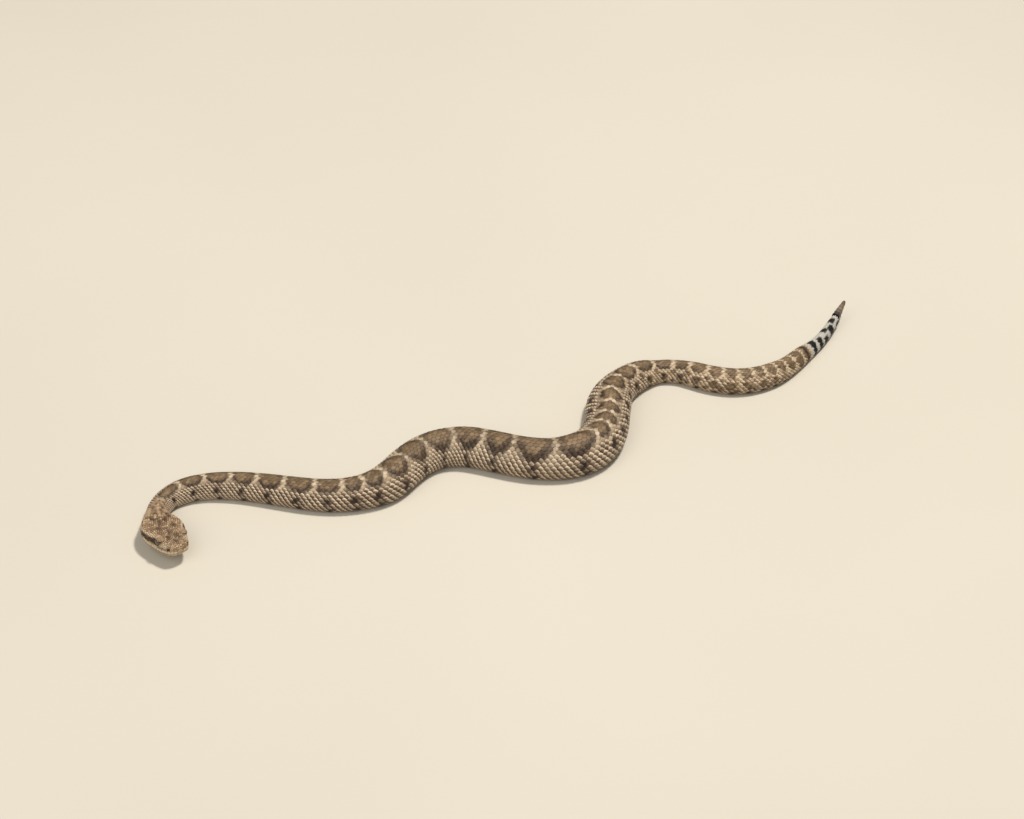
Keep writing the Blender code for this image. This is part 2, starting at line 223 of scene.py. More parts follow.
def smooth(at, knots):
    """Runs a curve through the knots that never overshoots them (a monotone cubic)."""
    x, y = np.array(knots, dtype=float).T
    step = np.diff(x)
    slope = np.diff(y) / step
    product = slope[:-1] * slope[1:]
    total = slope[:-1] + slope[1:]
    inner = np.where(product > 0, 2 * product / np.where(product > 0, total, 1), 0)
    tangent = np.concatenate([slope[:1], inner, slope[-1:]])
    at = np.clip(np.asarray(at, dtype=float), x[0], x[-1])
    i = np.clip(np.searchsorted(x, at, side="right") - 1, 0, len(step) - 1)
    t = (at - x[i]) / step[i]
    rise = t * t * (3 - 2 * t)
    return (y[i] * (1 - rise) + y[i + 1] * rise
            + step[i] * (tangent[i] * t * (1 - t) ** 2 - tangent[i + 1] * t * t * (1 - t)))


def spline_through(points, count):
    """Samples the natural cubic spline through the points, spaced by their chords."""
    points = np.array(points, dtype=float)
    knots = np.concatenate([[0], np.cumsum(np.linalg.norm(np.diff(points, axis=0), axis=1))])
    step = np.diff(knots)
    size = len(points)
    matrix = np.eye(size)
    wanted = np.zeros_like(points)
    for i in range(1, size - 1):
        matrix[i, i - 1:i + 2] = step[i - 1], 2 * (step[i - 1] + step[i]), step[i]
        wanted[i] = 6 * ((points[i + 1] - points[i]) / step[i] - (points[i] - points[i - 1]) / step[i - 1])
    bend = np.linalg.solve(matrix, wanted)
    at = np.linspace(0, knots[-1], count)
    i = np.clip(np.searchsorted(knots, at, side="right") - 1, 0, size - 2)
    h = step[i][:, None]
    near = ((knots[i + 1] - at)[:, None]) / h
    far = 1 - near
    return (near * points[i] + far * points[i + 1]
            + ((near ** 3 - near) * bend[i] + (far ** 3 - far) * bend[i + 1]) * h * h / 6)


spine = spline_through(ROUTE, 4000) - np.array(CENTRE)
spine_s = np.concatenate([[0], np.cumsum(np.linalg.norm(np.diff(spine, axis=0), axis=1))])
heading = np.unwrap(np.arctan2(*np.gradient(spine, spine_s, axis=0).T[::-1]))
lift = smooth(spine_s, LIFT)
climb = np.arctan(np.gradient(lift, spine_s))


def place(s, y, z):
    """Turns spine terms in millimetres into points in metres: y to the animal's right, z up."""
    inside = np.clip(s, 0, spine_s[-1])
    turn = np.interp(inside, spine_s, heading)
    slope = np.interp(inside, spine_s, climb)
    along = s - inside - z * np.sin(slope)
    x_out = np.interp(inside, spine_s, spine[:, 0]) + along * np.cos(turn) - y * np.sin(turn)
    y_out = np.interp(inside, spine_s, spine[:, 1]) + along * np.sin(turn) + y * np.cos(turn)
    z_out = np.interp(inside, spine_s, lift) + z * np.cos(slope)
    return np.stack([x_out, y_out, z_out], axis=-1) * MM


# Half of a typical section, from the ridge, 0, past the widest place, a quarter turn, to the belly's edge,
# half a turn: how far round by length each angle is, so that rows of scales come out evenly wide.
even_turn = np.linspace(0, np.pi, 200)
typical_y = np.where(even_turn < np.pi / 2, np.abs(np.sin(even_turn)) ** RIDGE_POWER,
                     BELLY_SHARE + (1 - BELLY_SHARE) * np.sin(even_turn))
typical_z = TYPICAL_HEIGHT * np.where(
    even_turn < np.pi / 2, FLANK_LEVEL + (1 - FLANK_LEVEL) * np.abs(np.cos(even_turn)) ** RIDGE_POWER,
    FLANK_LEVEL * (1 + np.cos(even_turn)))
round_share = np.concatenate([[0], np.cumsum(np.hypot(np.diff(typical_y), np.diff(typical_z)))])
round_share /= round_share[-1]


def body_section(s, g):
    """The body's section: a low ridge on a broad flank that curls under to a flat belly."""
    half = smooth(s, WIDTH) / 2
    height = 2 * half * smooth(s, HEIGHT_SHARE)
    rows = np.abs(g)
    turn = np.interp(np.minimum(rows / BACK_ROWS, 1), round_share, even_turn)
    upper = turn < np.pi / 2
    ridge = np.abs(np.sin(turn)) ** RIDGE_POWER
    crest = np.abs(np.cos(turn)) ** RIDGE_POWER
    y = half * np.where(upper, ridge, BELLY_SHARE + (1 - BELLY_SHARE) * np.sin(turn))
    z = height * np.where(upper, FLANK_LEVEL + (1 - FLANK_LEVEL) * crest, FLANK_LEVEL * (1 + np.cos(turn)))
    belly = np.clip((HALF_GIRTH - rows) / (HALF_GIRTH - BACK_ROWS), 0, 1)
    return np.sign(g) * y * belly, z


# The head's form: a flat crown on steep cheeks, broad over the venom glands behind the eyes, and a blunt
# snout that closes in a low dome. Small hollows lie round the eyes, at the nostrils and at the heat pits.
HEAD_HALF_WIDTH = [
    (0, 2.6), (0.5, 4.2), (1.5, 5.6), (4, 7.2), (7, 8.5), (9.5, 9.2), (13, 10.4), (16, 11.2), (18.5, 11.4),
    (21, 11.0), (24, 9.9), (27, 8.4), (30, 7.3), (33, 6.5),
]
HEAD_TOP = [
    (0, 6.2), (0.5, 7.0), (1.5, 7.8), (4, 8.5), (7, 9.1), (9.5, 9.6), (13, 10.0), (17, 10.5), (21, 10.9),
    (25, 11.1), (28, 10.9), (30, 10.7), (33, 10.3),
]
HEAD_CHIN = [(0, 3.3), (0.5, 2.5), (1.5, 1.7), (4, 0.8), (8, 0.2), (12, 0), (33, 0)]
HEAD_WIDEST = [(0, 4.6), (4, 4.4), (12, 4.3), (22, 4.6), (30, 4.2), (33, 4.0)]
HEAD_BOXINESS = [(0, 0.86), (4, 0.74), (12, 0.74), (22, 0.84), (28, 0.95), (33, 1.0)]
NECK_BLEND = (27.0, 36.0)      # between these the head's section turns into the body's
SNOUT_EDGE = 0.3               # ahead of this the section shrinks to a point, at SNOUT_TIP
SNOUT_TIP = -1.0
SNOUT_DOME = 0.5
SNOUT_MIDDLE = 4.9
MOUTH_LINE = [(-2, 3.7), (0, 3.7), (3, 3.5), (7, 3.0), (11, 2.8), (16, 3.1), (20, 4.0), (23, 4.9)]
MOUTH_CORNER = 20.5
LIP_SWELL = 0.25
LIP_REACH = 1.3
MOUTH_GROOVE = 0.3
GROOVE_REACH = 0.16
EYE_PLACE = (9.8, 7.6, 7.15)
EYE_RADIUS = 1.85
HOLLOWS = [(9.8, 7.15, 1.95, 0.45), (2.6, 6.3, 0.5, 0.6), (5.4, 5.4, 0.7, 0.8)]    # (s, z, radius, depth)
BROW_SWELL = (10.0, 6.9, 3.0, 2.0, 0.7)             # (s, y, length, width, height)


def ramp(value, low, high):
    """Goes smoothly from 0 at low to 1 at high."""
    share = np.clip((value - low) / (high - low), 0, 1)
    return share * share * (3 - 2 * share)


def head_section(s, g):
    """The head's section: a superellipse, squarest over the eyes, with swollen lips round a groove."""
    half, top, chin = (smooth(s, knots) for knots in (HEAD_HALF_WIDTH, HEAD_TOP, HEAD_CHIN))
    level, power = smooth(s, HEAD_WIDEST), smooth(s, HEAD_BOXINESS)
    turn = np.pi / 2 - np.pi * np.abs(g) / HALF_GIRTH
    up = np.sign(np.sin(turn)) * np.abs(np.sin(turn)) ** power
    z = level + np.where(up > 0, (top - level) * up, (level - chin) * up)
    lip = (z - smooth(s, MOUTH_LINE)) * (1 + 0 * s)
    mouth = 1 - ramp(s, MOUTH_CORNER - 1.0, MOUTH_CORNER + 2.5)
    swell = LIP_SWELL * np.exp(-(lip / LIP_REACH) ** 2)
    swell = (swell - MOUTH_GROOVE * np.exp(-(lip / GROOVE_REACH) ** 2)) * mouth
    y = np.abs(np.cos(turn)) ** power * (half + swell * np.minimum(1, s))
    at_s, at_y, length, width, height = BROW_SWELL
    z = z + height * np.exp(-((s - at_s) / length) ** 4 - ((y - at_y) / width) ** 4) * ramp(z, 7.5, 8.6)
    for at_s, at_z, radius, depth in HOLLOWS:
        away = np.hypot(s - at_s, z - at_z) / radius
        y = y - depth * (1 - ramp(away, 0.35, 1.0)) * (y > 3)
    return np.sign(g) * y, z


def section(s, g):
    """The section of the solids' outside from the snout's edge back, in millimetres."""
    share = ramp(s, *NECK_BLEND)
    head_y, head_z = head_section(s, g)
    body_y, body_z = body_section(s, g)
    return head_y + share * (body_y - head_y), head_z + share * (body_z - head_z)


def form(s, g):
    """A point of the solids' outside. Ahead of the snout's edge, the ring there shrinks and domes."""
    s, g = np.broadcast_arrays(np.asarray(s, dtype=float), np.asarray(g, dtype=float))
    ring = np.maximum(s, SNOUT_EDGE)
    y, z = section(ring, (g + HALF_GIRTH) % (2 * HALF_GIRTH) - HALF_GIRTH)
    share = np.clip((s - SNOUT_TIP) / (SNOUT_EDGE - SNOUT_TIP), 0, 1)
    return place(ring - SNOUT_DOME * (1 - share ** 2), y * share, SNOUT_MIDDLE + (z - SNOUT_MIDDLE) * share)


def tangents(s, g):
    """How far the form moves for each millimetre of s and for each row of g."""
    near = 0.05
    along = (form(s + near, g) - form(s - near, g)) / (2 * near)
    side = (form(s, g + near) - form(s, g - near)) / (2 * near)
    return along, side


def surface(s, g, out=0.0):
    """A point of the animal in metres, out millimetres outside the bare skin along its normal.

    The normal is the cross product of two small steps, along the body and round it.
    """
    normal = np.cross(*tangents(s, g))
    normal /= np.maximum(np.linalg.norm(normal, axis=-1, keepdims=True), 1e-12)
    return form(s, g) + normal * ((np.asarray(out) - COAT_DEPTH) * MM)[..., None]


# Markings. Brown saddles with dark edges and a pale outline run down the back, parted by white spots on
# the ridge; dusky and dark spots stand below them in two series; the tail is ringed black on white, and
# a dark stripe with pale borders runs from each eye to the corner of the jaw.
SADDLE_GAPS = [                # s of each white spot between two saddles
    39.5, 56.3, 70.6, 84.3, 97.9, 112.6, 128.4, 142.5, 153.6, 165.6, 182.2, 199, 217, 234, 250.5, 272.5,
    296.8, 307.4, 316.6, 325.8, 337.2, 352, 366.2, 380, 392, 401.5, 412, 420.5, 428.5, 437, 444.5, 452,
    459, 466.8, 475, 482.5,
]
SADDLE_REACH = [               # (s, rows from the ridge to a saddle's side)
    (40, 2.1), (60, 2.7), (77, 3.0), (105, 3.7), (125, 3.8), (140, 3.2), (175, 3.6), (200, 4.3), (275, 4.5),
    (296, 2.7), (330, 2.5), (350, 2.9), (400, 3.3), (450, 4.0), (458, 5.2), (466, 7.0), (476, 10.0),
    (484, 13.0),
]
# How square a saddle is: the power of its superellipse
SADDLE_POWER = [(60, 2.6), (135, 2.3), (170, 1.7), (210, 1.5), (280, 1.5), (300, 2.0), (400, 2.6)]
CHEVRON = [(40, 0.1), (280, 0.15), (300, 0.6), (340, 0.6), (365, 0.3), (395, 0.0)]    # mm forward for a row
GAP_HALF = 1.75                # half the length of a white spot between two saddles
HEAD_COLOURS_END = (33, 39)    # between these the head's colours give way to the body's
NAPE_ENDS = (42, 56)           # between these the nape's mottling gives way to the saddles
EDGES_FADE = (380, 430)        # between these the dark edges and the flank's dark spots fade
SPOTS_END = (462, 474)         # between these the spots below the saddles end
WHITE_TAIL_STARTS = (481.0, 485.0)
TAIL_BANDS = [                 # (s, first row, last row, half width on the ridge, on the side, strength)
    (479.3, -10.0, 10.0, 1.3, 1.0, 0.8), (488.0, -12.5, 2.8, 2.7, 1.9, 1), (494.9, -12.5, 0.3, 2.3, 2.0, 1),
    (501.0, -12.5, -4.0, 1.4, 2.3, 1), (504.1, -1.8, 12.5, 2.4, 1.9, 1), (508.8, -12.5, 0.0, 2.4, 2.5, 1),
    (514.7, -2.6, 12.5, 2.3, 1.9, 1), (516.8, -12.5, -5.5, 1.3, 1.9, 1), (495.5, 5.0, 12.5, 1.7, 1.8, 1),
    (487.5, 6.0, 12.5, 1.5, 1.7, 1),
    (522.0, -16.0, 16.0, 2.2, 2.2, 1),
]
CHEEK_STRIPE = [(8.0, 6.6), (11.5, 6.9), (16.0, 6.2), (23.0, 4.0)]        # (s, z) on the cheek
UPPER_BORDER = [(8.0, 8.6), (12.0, 8.7), (17.0, 7.9), (25.0, 5.6)]
LOWER_BORDER = [(4.0, 6.9), (7.4, 6.3), (9.5, 4.9), (13.5, 4.4), (18.0, 3.6), (22.0, 2.9)]
CROWN_SPOTS = [                # (s, y, length, width)
    (5.0, 0.0, 1.6, 1.3), (8.2, 2.4, 1.7, 1.1), (8.2, -2.5, 1.6, 1.2), (12.0, 0.2, 1.9, 1.5),
    (14.8, 3.9, 2.1, 1.2), (15.2, -4.1, 2.2, 1.3), (19.0, 1.7, 2.4, 1.1), (19.4, -1.6, 2.3, 1.1),
    (22.6, 4.6, 2.2, 1.2), (23.0, -4.5, 2.4, 1.2), (26.5, 1.3, 2.4, 0.9), (26.8, -1.5, 2.4, 0.9),
    (31.5, 2.8, 2.6, 1.0), (31.8, -2.7, 2.6, 1.0), (36.5, 0.9, 1.8, 0.8), (36.3, -0.9, 1.8, 0.8),
]


def head_markings(s, y, z):
    """Colour shares on the head: a stripe is a band round a line drawn on the cheek."""
    cheek = ramp(np.abs(y), 3.5, 5.5)

    def band(line, half, soft):
        """1 within half millimetres of the line, fading over the next soft millimetres."""
        knots = np.array(line, dtype=float).T
        front, rear = knots[0][0], knots[0][-1]
        inside = ramp(s, front - 0.6, front + 0.4) * (1 - ramp(s, rear - 1.5, rear))
        return (1 - ramp(np.abs(z - smooth(s, line)), half, half + soft)) * inside * cheek

    stripe = band(CHEEK_STRIPE, 1.0, 0.5)
    border = np.maximum(band(UPPER_BORDER, 0.35, 0.4), band(LOWER_BORDER, 0.4, 0.4))
    crown = np.zeros_like(s)
    for at_s, at_y, length, width in CROWN_SPOTS:
        crown = np.maximum(crown, np.exp(-((s - at_s) / length) ** 2 - ((y - at_y) / width) ** 2))
    crown = crown * ramp(z, 5.5, 7.5)
    lips = (1 - ramp(np.abs(z - smooth(s, MOUTH_LINE)), 1.6, 2.2)) * (1 - ramp(s, 19, 22))
    throat = (1 - ramp(z, 1.2, 2.4))
    # The nostril's dark spot is painted shade inside its hollow.
    nostril_shade = np.exp(-((s - 2.8) / 0.8) ** 2 - ((z - 6.1) / 0.7) ** 2) * cheek
    border = np.maximum(border, np.exp(-((s - 5.6) / 2.1) ** 2 - ((z - 7.2) / 1.2) ** 2) * cheek)
    # A dark line along the mouth is painted shade in the crease of the closed mouth.
    mouth = (1 - ramp(np.abs(z - smooth(s, MOUTH_LINE)), 0.1, 0.3)) * (1 - ramp(s, 19, 21)) * 0.8
    return stripe, border * (1 - stripe), crown, lips, throat, nostril_shade, mouth


def markings(s, g):
    """The share of each colour at places on the animal: a dict of arrays from 0 to 1.

    A saddle is a superellipse between two gaps, bent forward at its sides into a chevron. Its dark edge
    and its pale outline are bands round it. Two sums of sines shift it all a little, as on a real skin.
    """
    s, g = np.broadcast_arrays(np.asarray(s, dtype=float), np.asarray(g, dtype=float))
    rows = np.abs(np.abs(g) + 0.22 * np.sin(1.3 * s - 0.9 * g) + 0.18 * np.sin(2.7 * s + 1.1 * g + 1))
    along = s + 0.3 * np.sin(1.9 * s + 2.1 * g) + 0.3 * np.sin(0.83 * s - 1.7 * g + 2)
    bent = along + smooth(s, CHEVRON) * np.clip(rows - 0.5, 0, 8)
    gaps = np.array(SADDLE_GAPS)
    number = np.clip(np.searchsorted(gaps, bent) - 1, 0, len(gaps) - 2)
    start, end = gaps[number], gaps[number + 1]
    middle, half_length = (start + end) / 2, (end - start) / 2
    reach = smooth(s, SADDLE_REACH)
    bar = np.minimum(GAP_HALF, half_length * 0.32)
    power = smooth(s, SADDLE_POWER)
    lengthwise = (np.abs(bent - middle) / (half_length - bar * 0.9)) ** power
    ragged = 0.18 * np.sin(3.1 * s + 2.3 * g) * np.sin(1.7 * s - 2.9 * g)
    shape = lengthwise + (rows / reach) ** power + ragged
    on_back = (bent > gaps[0] - 1) * (bent < gaps[-1])
    fade = ramp(s, *EDGES_FADE)
    saddle = (1 - ramp(shape, 1.0, 1.2)) * on_back
    edge = ramp(shape, 0.45, 0.75) * (1 - ramp(shape, 1.25, 1.55)) * on_back
    edge = edge * (0.5 + 0.5 * ramp(rows / reach, 0.2, 0.6)) * (0.8 + 0.2 * np.sin(2.3 * s + 1.9 * g))
    facing = np.clip(lengthwise / np.maximum(shape, 0.01), 0, 1)
    behind = np.where(bent > middle, 1.0, 0.45)
    outline = ramp(shape, 1.15, 1.45) * (1 - ramp(shape, 2.2, 3.4)) * on_back * behind
    outline = outline * np.maximum(facing, 0.7 * ramp(s, 285, 295) * (1 - ramp(s, 400, 420)))
    gap = np.where(bent - start < end - bent, start, end)
    spot = (1 - ramp(np.hypot((bent - gap) / (bar * 1.15), g / 2.2), 0.8, 1.15)) * on_back

    def spots(at, row, length, width):
        """A soft round spot: a bell curve along s times one across the rows."""
        return np.exp(-((along - at) / length) ** 2 - ((rows - row) / width) ** 2)

    beside_s = np.clip(np.searchsorted(gaps, s) - 1, 0, len(gaps) - 2)
    beside = (gaps[beside_s] + gaps[beside_s + 1]) / 2
    beside_gap = np.where(s < beside, gaps[beside_s], gaps[beside_s + 1])
    dusky = np.maximum(1.3 * spots(beside_gap, reach + 1.9, 2.4, 1.3) * (1 - 0.8 * fade),
                       0.9 * spots(beside_gap, 9.3, 1.5, 1.1))
    boldness = 1.8 - 0.7 * ramp(reach, 4.0, 4.3)
    dark = np.maximum(boldness * spots(beside - 0.8, np.minimum(reach, 4.1) + 3.3, 1.5, 1.0) * (1 - fade),
                      1.5 * spots(beside + 1.2, 10.2, 1.4, 1.0))
    patch = np.minimum(((along - beside) / 2.2) ** 2 + ((rows - 6.9) / 1.4) ** 2,
                       ((along - beside_gap) / 1.5) ** 2 + ((rows - 4.7) / 1.0) ** 2 + ramp(s, 395, 420))
    patched = ramp(s, 335, 360) * (1 - ramp(s, 448, 462))
    rear_patch = (1 - ramp(patch, 0.7, 1.1)) * patched
    rear_edge = ramp(patch, 0.3, 0.7) * (1 - ramp(patch, 1.0, 1.5)) * patched
    low_bars = np.maximum(spots(beside, 9.9, 0.9, 1.1), spots(beside_gap, 8.6, 0.9, 1.2)) * ramp(s, 330, 370)
    corners = np.maximum(spots(beside - half_length * 0.42, reach * 0.92, 1.0, 0.7),
                         spots(beside + half_length * 0.42, reach * 0.92, 1.0, 0.7))
    corners = np.maximum(corners, 0.8 * spots(beside, reach + 0.2, 1.1, 0.6))
    before_tail = 1 - ramp(s, *SPOTS_END)
    white_tail = ramp(s, *WHITE_TAIL_STARTS)
    band = np.zeros_like(s)
    for at, low, high, ridge_half, side_half, strength in TAIL_BANDS:
        inside = ramp(g, low - 0.7, low + 0.7) if low > -12 else 1.0
        inside = inside * ((1 - ramp(g, high - 0.7, high + 0.7)) if high < 12 else 1.0)
        half = side_half + (ridge_half - side_half) * np.exp(-(g / 3.0) ** 2)
        band = np.maximum(band, strength * inside * (1 - ramp(np.abs(along - at), half - 0.4, half + 0.4)))
    belly = ramp(rows, 11.8, 12.9)
    ring = np.maximum(s, SNOUT_EDGE)
    y, z = section(ring, g)
    stripe, border, crown, lips, throat, nostril_shade, mouth = head_markings(s, y, z)
    head = 1 - ramp(s, *HEAD_COLOURS_END)
    trunk = (1 - head) * (1 - white_tail)
    nape = 1 - ramp(s, *NAPE_ENDS)
    mottled_nape = nape * (0.35 + 0.25 * np.sin(1.6 * s) * np.sin(1.5 * g))
    side = trunk * (1 - belly) * before_tail
    skin_colour = {
        "brown": np.maximum(saddle, rear_patch * before_tail) * trunk,
        "dark": np.maximum.reduce([edge * (1 - 0.4 * fade) * trunk, corners * (1 - fade) * trunk,
                                   dark * side, 0.7 * rear_edge * side, 0.8 * low_bars * side,
                                   head * np.maximum.reduce([stripe * 0.6, nostril_shade * 0.8, mouth])]),
        "dusky": np.maximum.reduce([dusky * side, mottled_nape * side,
                                    head * np.maximum(stripe * 0.5, 1.15 * crown)]),
        "pale": np.maximum(outline * 0.85, spot) * trunk * (1 - 0.6 * nape) + head * border * 0.8,
        "chalk": white_tail,
        "black": band * ramp(s, 476, 478),
        "cream": np.maximum.reduce([belly * (1 - head), throat * head, lips * head * 0.6,
                                    ramp(rows, 6.5, 10.5) * (1 - ramp(s, 60, 110)) * 0.7 * (1 - head)]),
        "warm": np.maximum(ramp(s, 335, 395), 0.5 * head),
        "flank": ramp(rows, 2.0, 4.5) * (1 - head),
    }
    return {name: np.clip(value, 0, 1) for name, value in skin_colour.items()}


def carry(made, values):
    """Stores each named array on the mesh's points, for its material to read."""
    for name, value in values.items():
        layer = made.data.attributes.new(name, "FLOAT", "POINT")
        layer.data.foreach_set("value", np.asarray(value, dtype=np.float32).ravel())


def scale_paint(name, shade, roughness):
    """The colours of scaled skin, from the markings that the mesh carries."""
    paint = Paint(name)
    cloud = paint.noise(260.0, 3.0)
    fine = paint.noise(2600.0)
    tone = paint.mask("tone")
    blend = tone * 0.75 + cloud * 0.25
    ground = paint.mix(tint(100, 76, 54), tint(190, 162, 128), blend)
    flank = paint.mix(tint(76, 58, 44), tint(150, 125, 102), blend)
    ground = paint.mix(ground, flank, paint.mask("flank"))
    warm = paint.mix(tint(144, 114, 84), tint(216, 190, 153), blend)
    ground = paint.mix(ground, warm, paint.mask("warm") * 0.85)
    colour = paint.mix(ground, tint(216, 198, 170), paint.mask("cream"))
    # The base mask darkens the front of each scale: partly its own dark base, partly painted shade under the
    # scale ahead that laps over it.
    colour = paint.mix(colour, tint(54, 39, 28), paint.mask("base") * 0.8)
    colour = paint.mix(colour, tint(78, 57, 41), paint.mask("dusky") * 0.85)
    # The edge mask paints the flank scales' pale rims, partly their own pale edges and partly painted
    # highlight where the raised edge catches the light; on the brow plates it carries a pale bar.
    colour = paint.mix(colour, tint(222, 202, 174), paint.mask("edge"))
    colour = paint.mix(colour, tint(198, 179, 152), paint.mask("pale"))
    brown = paint.mix(tint(80, 63, 44), tint(144, 120, 90), tone * 0.6 + cloud * 0.4)
    colour = paint.mix(colour, brown, paint.mask("brown"))
    colour = paint.mix(colour, tint(38, 26, 16), paint.mask("dark"))
    colour = paint.mix(colour, tint(184, 181, 172), paint.mask("chalk"))
    colour = paint.mix(colour, tint(7, 5, 3), paint.mask("black"))
    # Fine speckle times the shade factor; the bare skin's factor of 0.5 is partly its own darker colour and
    # partly painted shade between the scales.
    speckle_and_shade = ((fine - 0.5) * 0.5 + 1.0) * shade
    grey = paint.node("ShaderNodeCombineColor", None, {0: speckle_and_shade, 1: speckle_and_shade, 2: speckle_and_shade})
    colour = paint.mix(colour, grey, 1.0, "MULTIPLY")
    return paint.finish(Base_Color=colour, Roughness=cloud * 0.15 + roughness, Specular_IOR_Level=0.3,
                        Normal=paint.bump(0.25, fine))


# Skin. One thin hide covers the whole animal from the snout to the rattle, without a seam. It shows only
# between the scales, and carries the same markings as they do, darker: partly its own darker colour and
# partly painted shade in the gaps under the scales.
SKIN_COLUMNS = 192
UNWRAP_LENGTH = 540.0          # how much of s the flat layout holds


def unwrap(made, u, v):
    """Gives the mesh its own flat layout, from one place for each point, opened along the belly."""
    corner = np.zeros(len(made.data.loops), dtype=np.int32)
    first = np.zeros(len(made.data.polygons), dtype=np.int32)
    size = np.zeros(len(made.data.polygons), dtype=np.int32)
    made.data.loops.foreach_get("vertex_index", corner)
    made.data.polygons.foreach_get("loop_start", first)
    made.data.polygons.foreach_get("loop_total", size)
    v = v.ravel()[corner]
    v = v + (np.repeat(np.maximum.reduceat(v, first), size) - v > 0.5)
    layout = made.data.uv_layers.new(name="OFBake")
    both = np.stack([u.ravel()[corner], v], axis=1)
    layout.uv.foreach_set("vector", both.astype(np.float32).ravel())


def unwrap_place(s, g):
    """Where a place of the skin lies in the flat layout: s along it and g across it."""
    return (s - SNOUT_TIP + 1) / UNWRAP_LENGTH, (g / HALF_GIRTH + 1) / 2


def grid_faces(rows, columns):
    """The quads of a grid of points that goes round, its last column joined to its first."""
    row, column = np.meshgrid(np.arange(rows - 1), np.arange(columns), indexing="ij")
    here, after = row * columns + column, row * columns + (column + 1) % columns
    return np.stack([here, after, after + columns, here + columns], axis=-1).reshape(-1, 4).tolist()


def capped_faces(rows, columns):
    """A round grid's quads and a fan at each end, to the two poles that follow the grid's points."""
    total, last = rows * columns, (rows - 1) * columns
    faces = grid_faces(rows, columns)
    faces += [(total, (k + 1) % columns, k) for k in range(columns)]
    return faces + [(total + 1, last + k, last + (k + 1) % columns) for k in range(columns)]


ring_s = np.concatenate([np.linspace(SNOUT_TIP + 0.05, SNOUT_EDGE, 9)[:-1], np.arange(SNOUT_EDGE, 8, 0.16),
                         np.arange(8, 34, 0.23), np.arange(34, TAIL_END, 1.8), [TAIL_END]])
ring_g = (np.arange(SKIN_COLUMNS) / SKIN_COLUMNS * 2 - 1) * HALF_GIRTH
skin_grid = surface(ring_s[:, None], ring_g[None, :])
rings = len(ring_s)
poles = np.stack([skin_grid[0].mean(axis=0), skin_grid[-1].mean(axis=0)])
# The skin's shade factor of 0.5 and its low tone paint it darker: partly its own colour, partly painted
# shade between the scales.
skin = add_mesh("skin", np.concatenate([skin_grid.reshape(-1, 3), poles]),
                capped_faces(rings, SKIN_COLUMNS), scale_paint("skin", 0.5, 0.6))
skin_s = np.concatenate([np.repeat(ring_s, SKIN_COLUMNS), [SNOUT_TIP, TAIL_END]])
skin_g = np.concatenate([np.tile(ring_g, rings), [0.0, 0.0]])
carry(skin, markings(skin_s, skin_g))
carry(skin, {"tone": np.full(len(skin_s), 0.3), "edge": 0 * skin_s, "base": 0 * skin_s})
unwrap(skin, *unwrap_place(skin_s, skin_g))
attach(skin, "root")
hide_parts("head", "lower_jaw", "neck", *[f"trunk_{n}" for n in range(1, 8)], "tail")

# Back and flank scales. Each is a keeled, lance-shaped plate of horn, rooted at its front and free at its
# rear, where it laps over the next; the rows are set half a scale out of step with their neighbours.
PITCH = [(20, 1.3), (28, 1.6), (40, 1.9), (70, 2.3), (120, 2.65), (300, 2.9), (400, 2.6), (484, 2.3),
         (522, 1.9)]
FIRST_STATION = 20.3           # s of the first cross row of scales
SCALES_START = 25.5            # ahead of this the head has its own scales
SCALE_LENGTH = 1.55            # a scale's length, in pitches
SCALE_WIDTH = 1.66             # its width, in rows
SCALE_RINGS = [                # (share of the length, share of the half width, height in mm)
    (0, 0.36, -0.22), (0.2, 0.74, -0.12), (0.4, 0.97, 0.03), (0.58, 1.0, 0.15), (0.78, 0.68, 0.25),
    (0.92, 0.31, 0.32), (1.0, 0.07, 0.33),
]
SCALE_ACROSS = np.array([-1, -0.6, 0, 0.6, 1, 0.5, 0, -0.5])
SCALE_RISE = np.array([-0.02, 0.04, 0.17, 0.04, -0.02, -0.11, -0.12, -0.11])   # keel at the third point
# RIM_ROWS sets the width of the rim: partly the scale's own pale edge, partly painted highlight where the
# edge catches the light.
RIM_ROWS = 0.5                 # width of the pale rim along a flank scale's upper rear edge, in rows
FLECKED_SHARE = 0.14           # how many of the flank's scales are darker, at random
BAKE_PATCH = 0.003
SCALES_A_PIECE = 1600
OWN_COLOUR = {"dark": 0.3, "pale": 0.5, "black": 0.1}      # how much of a marking is even over each scale
OWN_SHARE = 0.72               # the same, for every other marking
FULL_PITCH = 2.9               # at this pitch a scale stands as high as its rings say

stations = [FIRST_STATION]
while stations[-1] < TAIL_END - 1.2:
    stations.append(stations[-1] + float(smooth(stations[-1], PITCH)))
stations = np.array(stations)
pitch = smooth(stations, PITCH)


def lattice(rows):
    """Roots of scales: every row at every station, odd rows half a pitch behind."""
    row, station = np.meshgrid(rows, np.arange(len(stations)))
    return stations[station] + pitch[station] * 0.5 * (row % 2), row.astype(float), pitch[station]


def bake_patches(made, mid_s, mid_g, first, second, patch):
    """Lays each plate out as a small patch round its middle's place, from its points' shares across it."""
    u, v = unwrap_place(mid_s, mid_g)
    u = u + patch * first + 0 * second
    unwrap(made, u, np.clip(v, patch, 1 - patch) + patch * second + 0 * u)


def sealed_faces(rows, columns):
    """A round grid's quads and a flat face over each end."""
    ends = [list(range(columns))[::-1], list(range((rows - 1) * columns, rows * columns))]
    return grid_faces(rows, columns) + ends


def copies(one, count, per):
    """The faces of one shape for each of its copies, whose points follow each other, per for each."""
    return [[corner + number * per for corner in face] for number in range(count) for face in one]


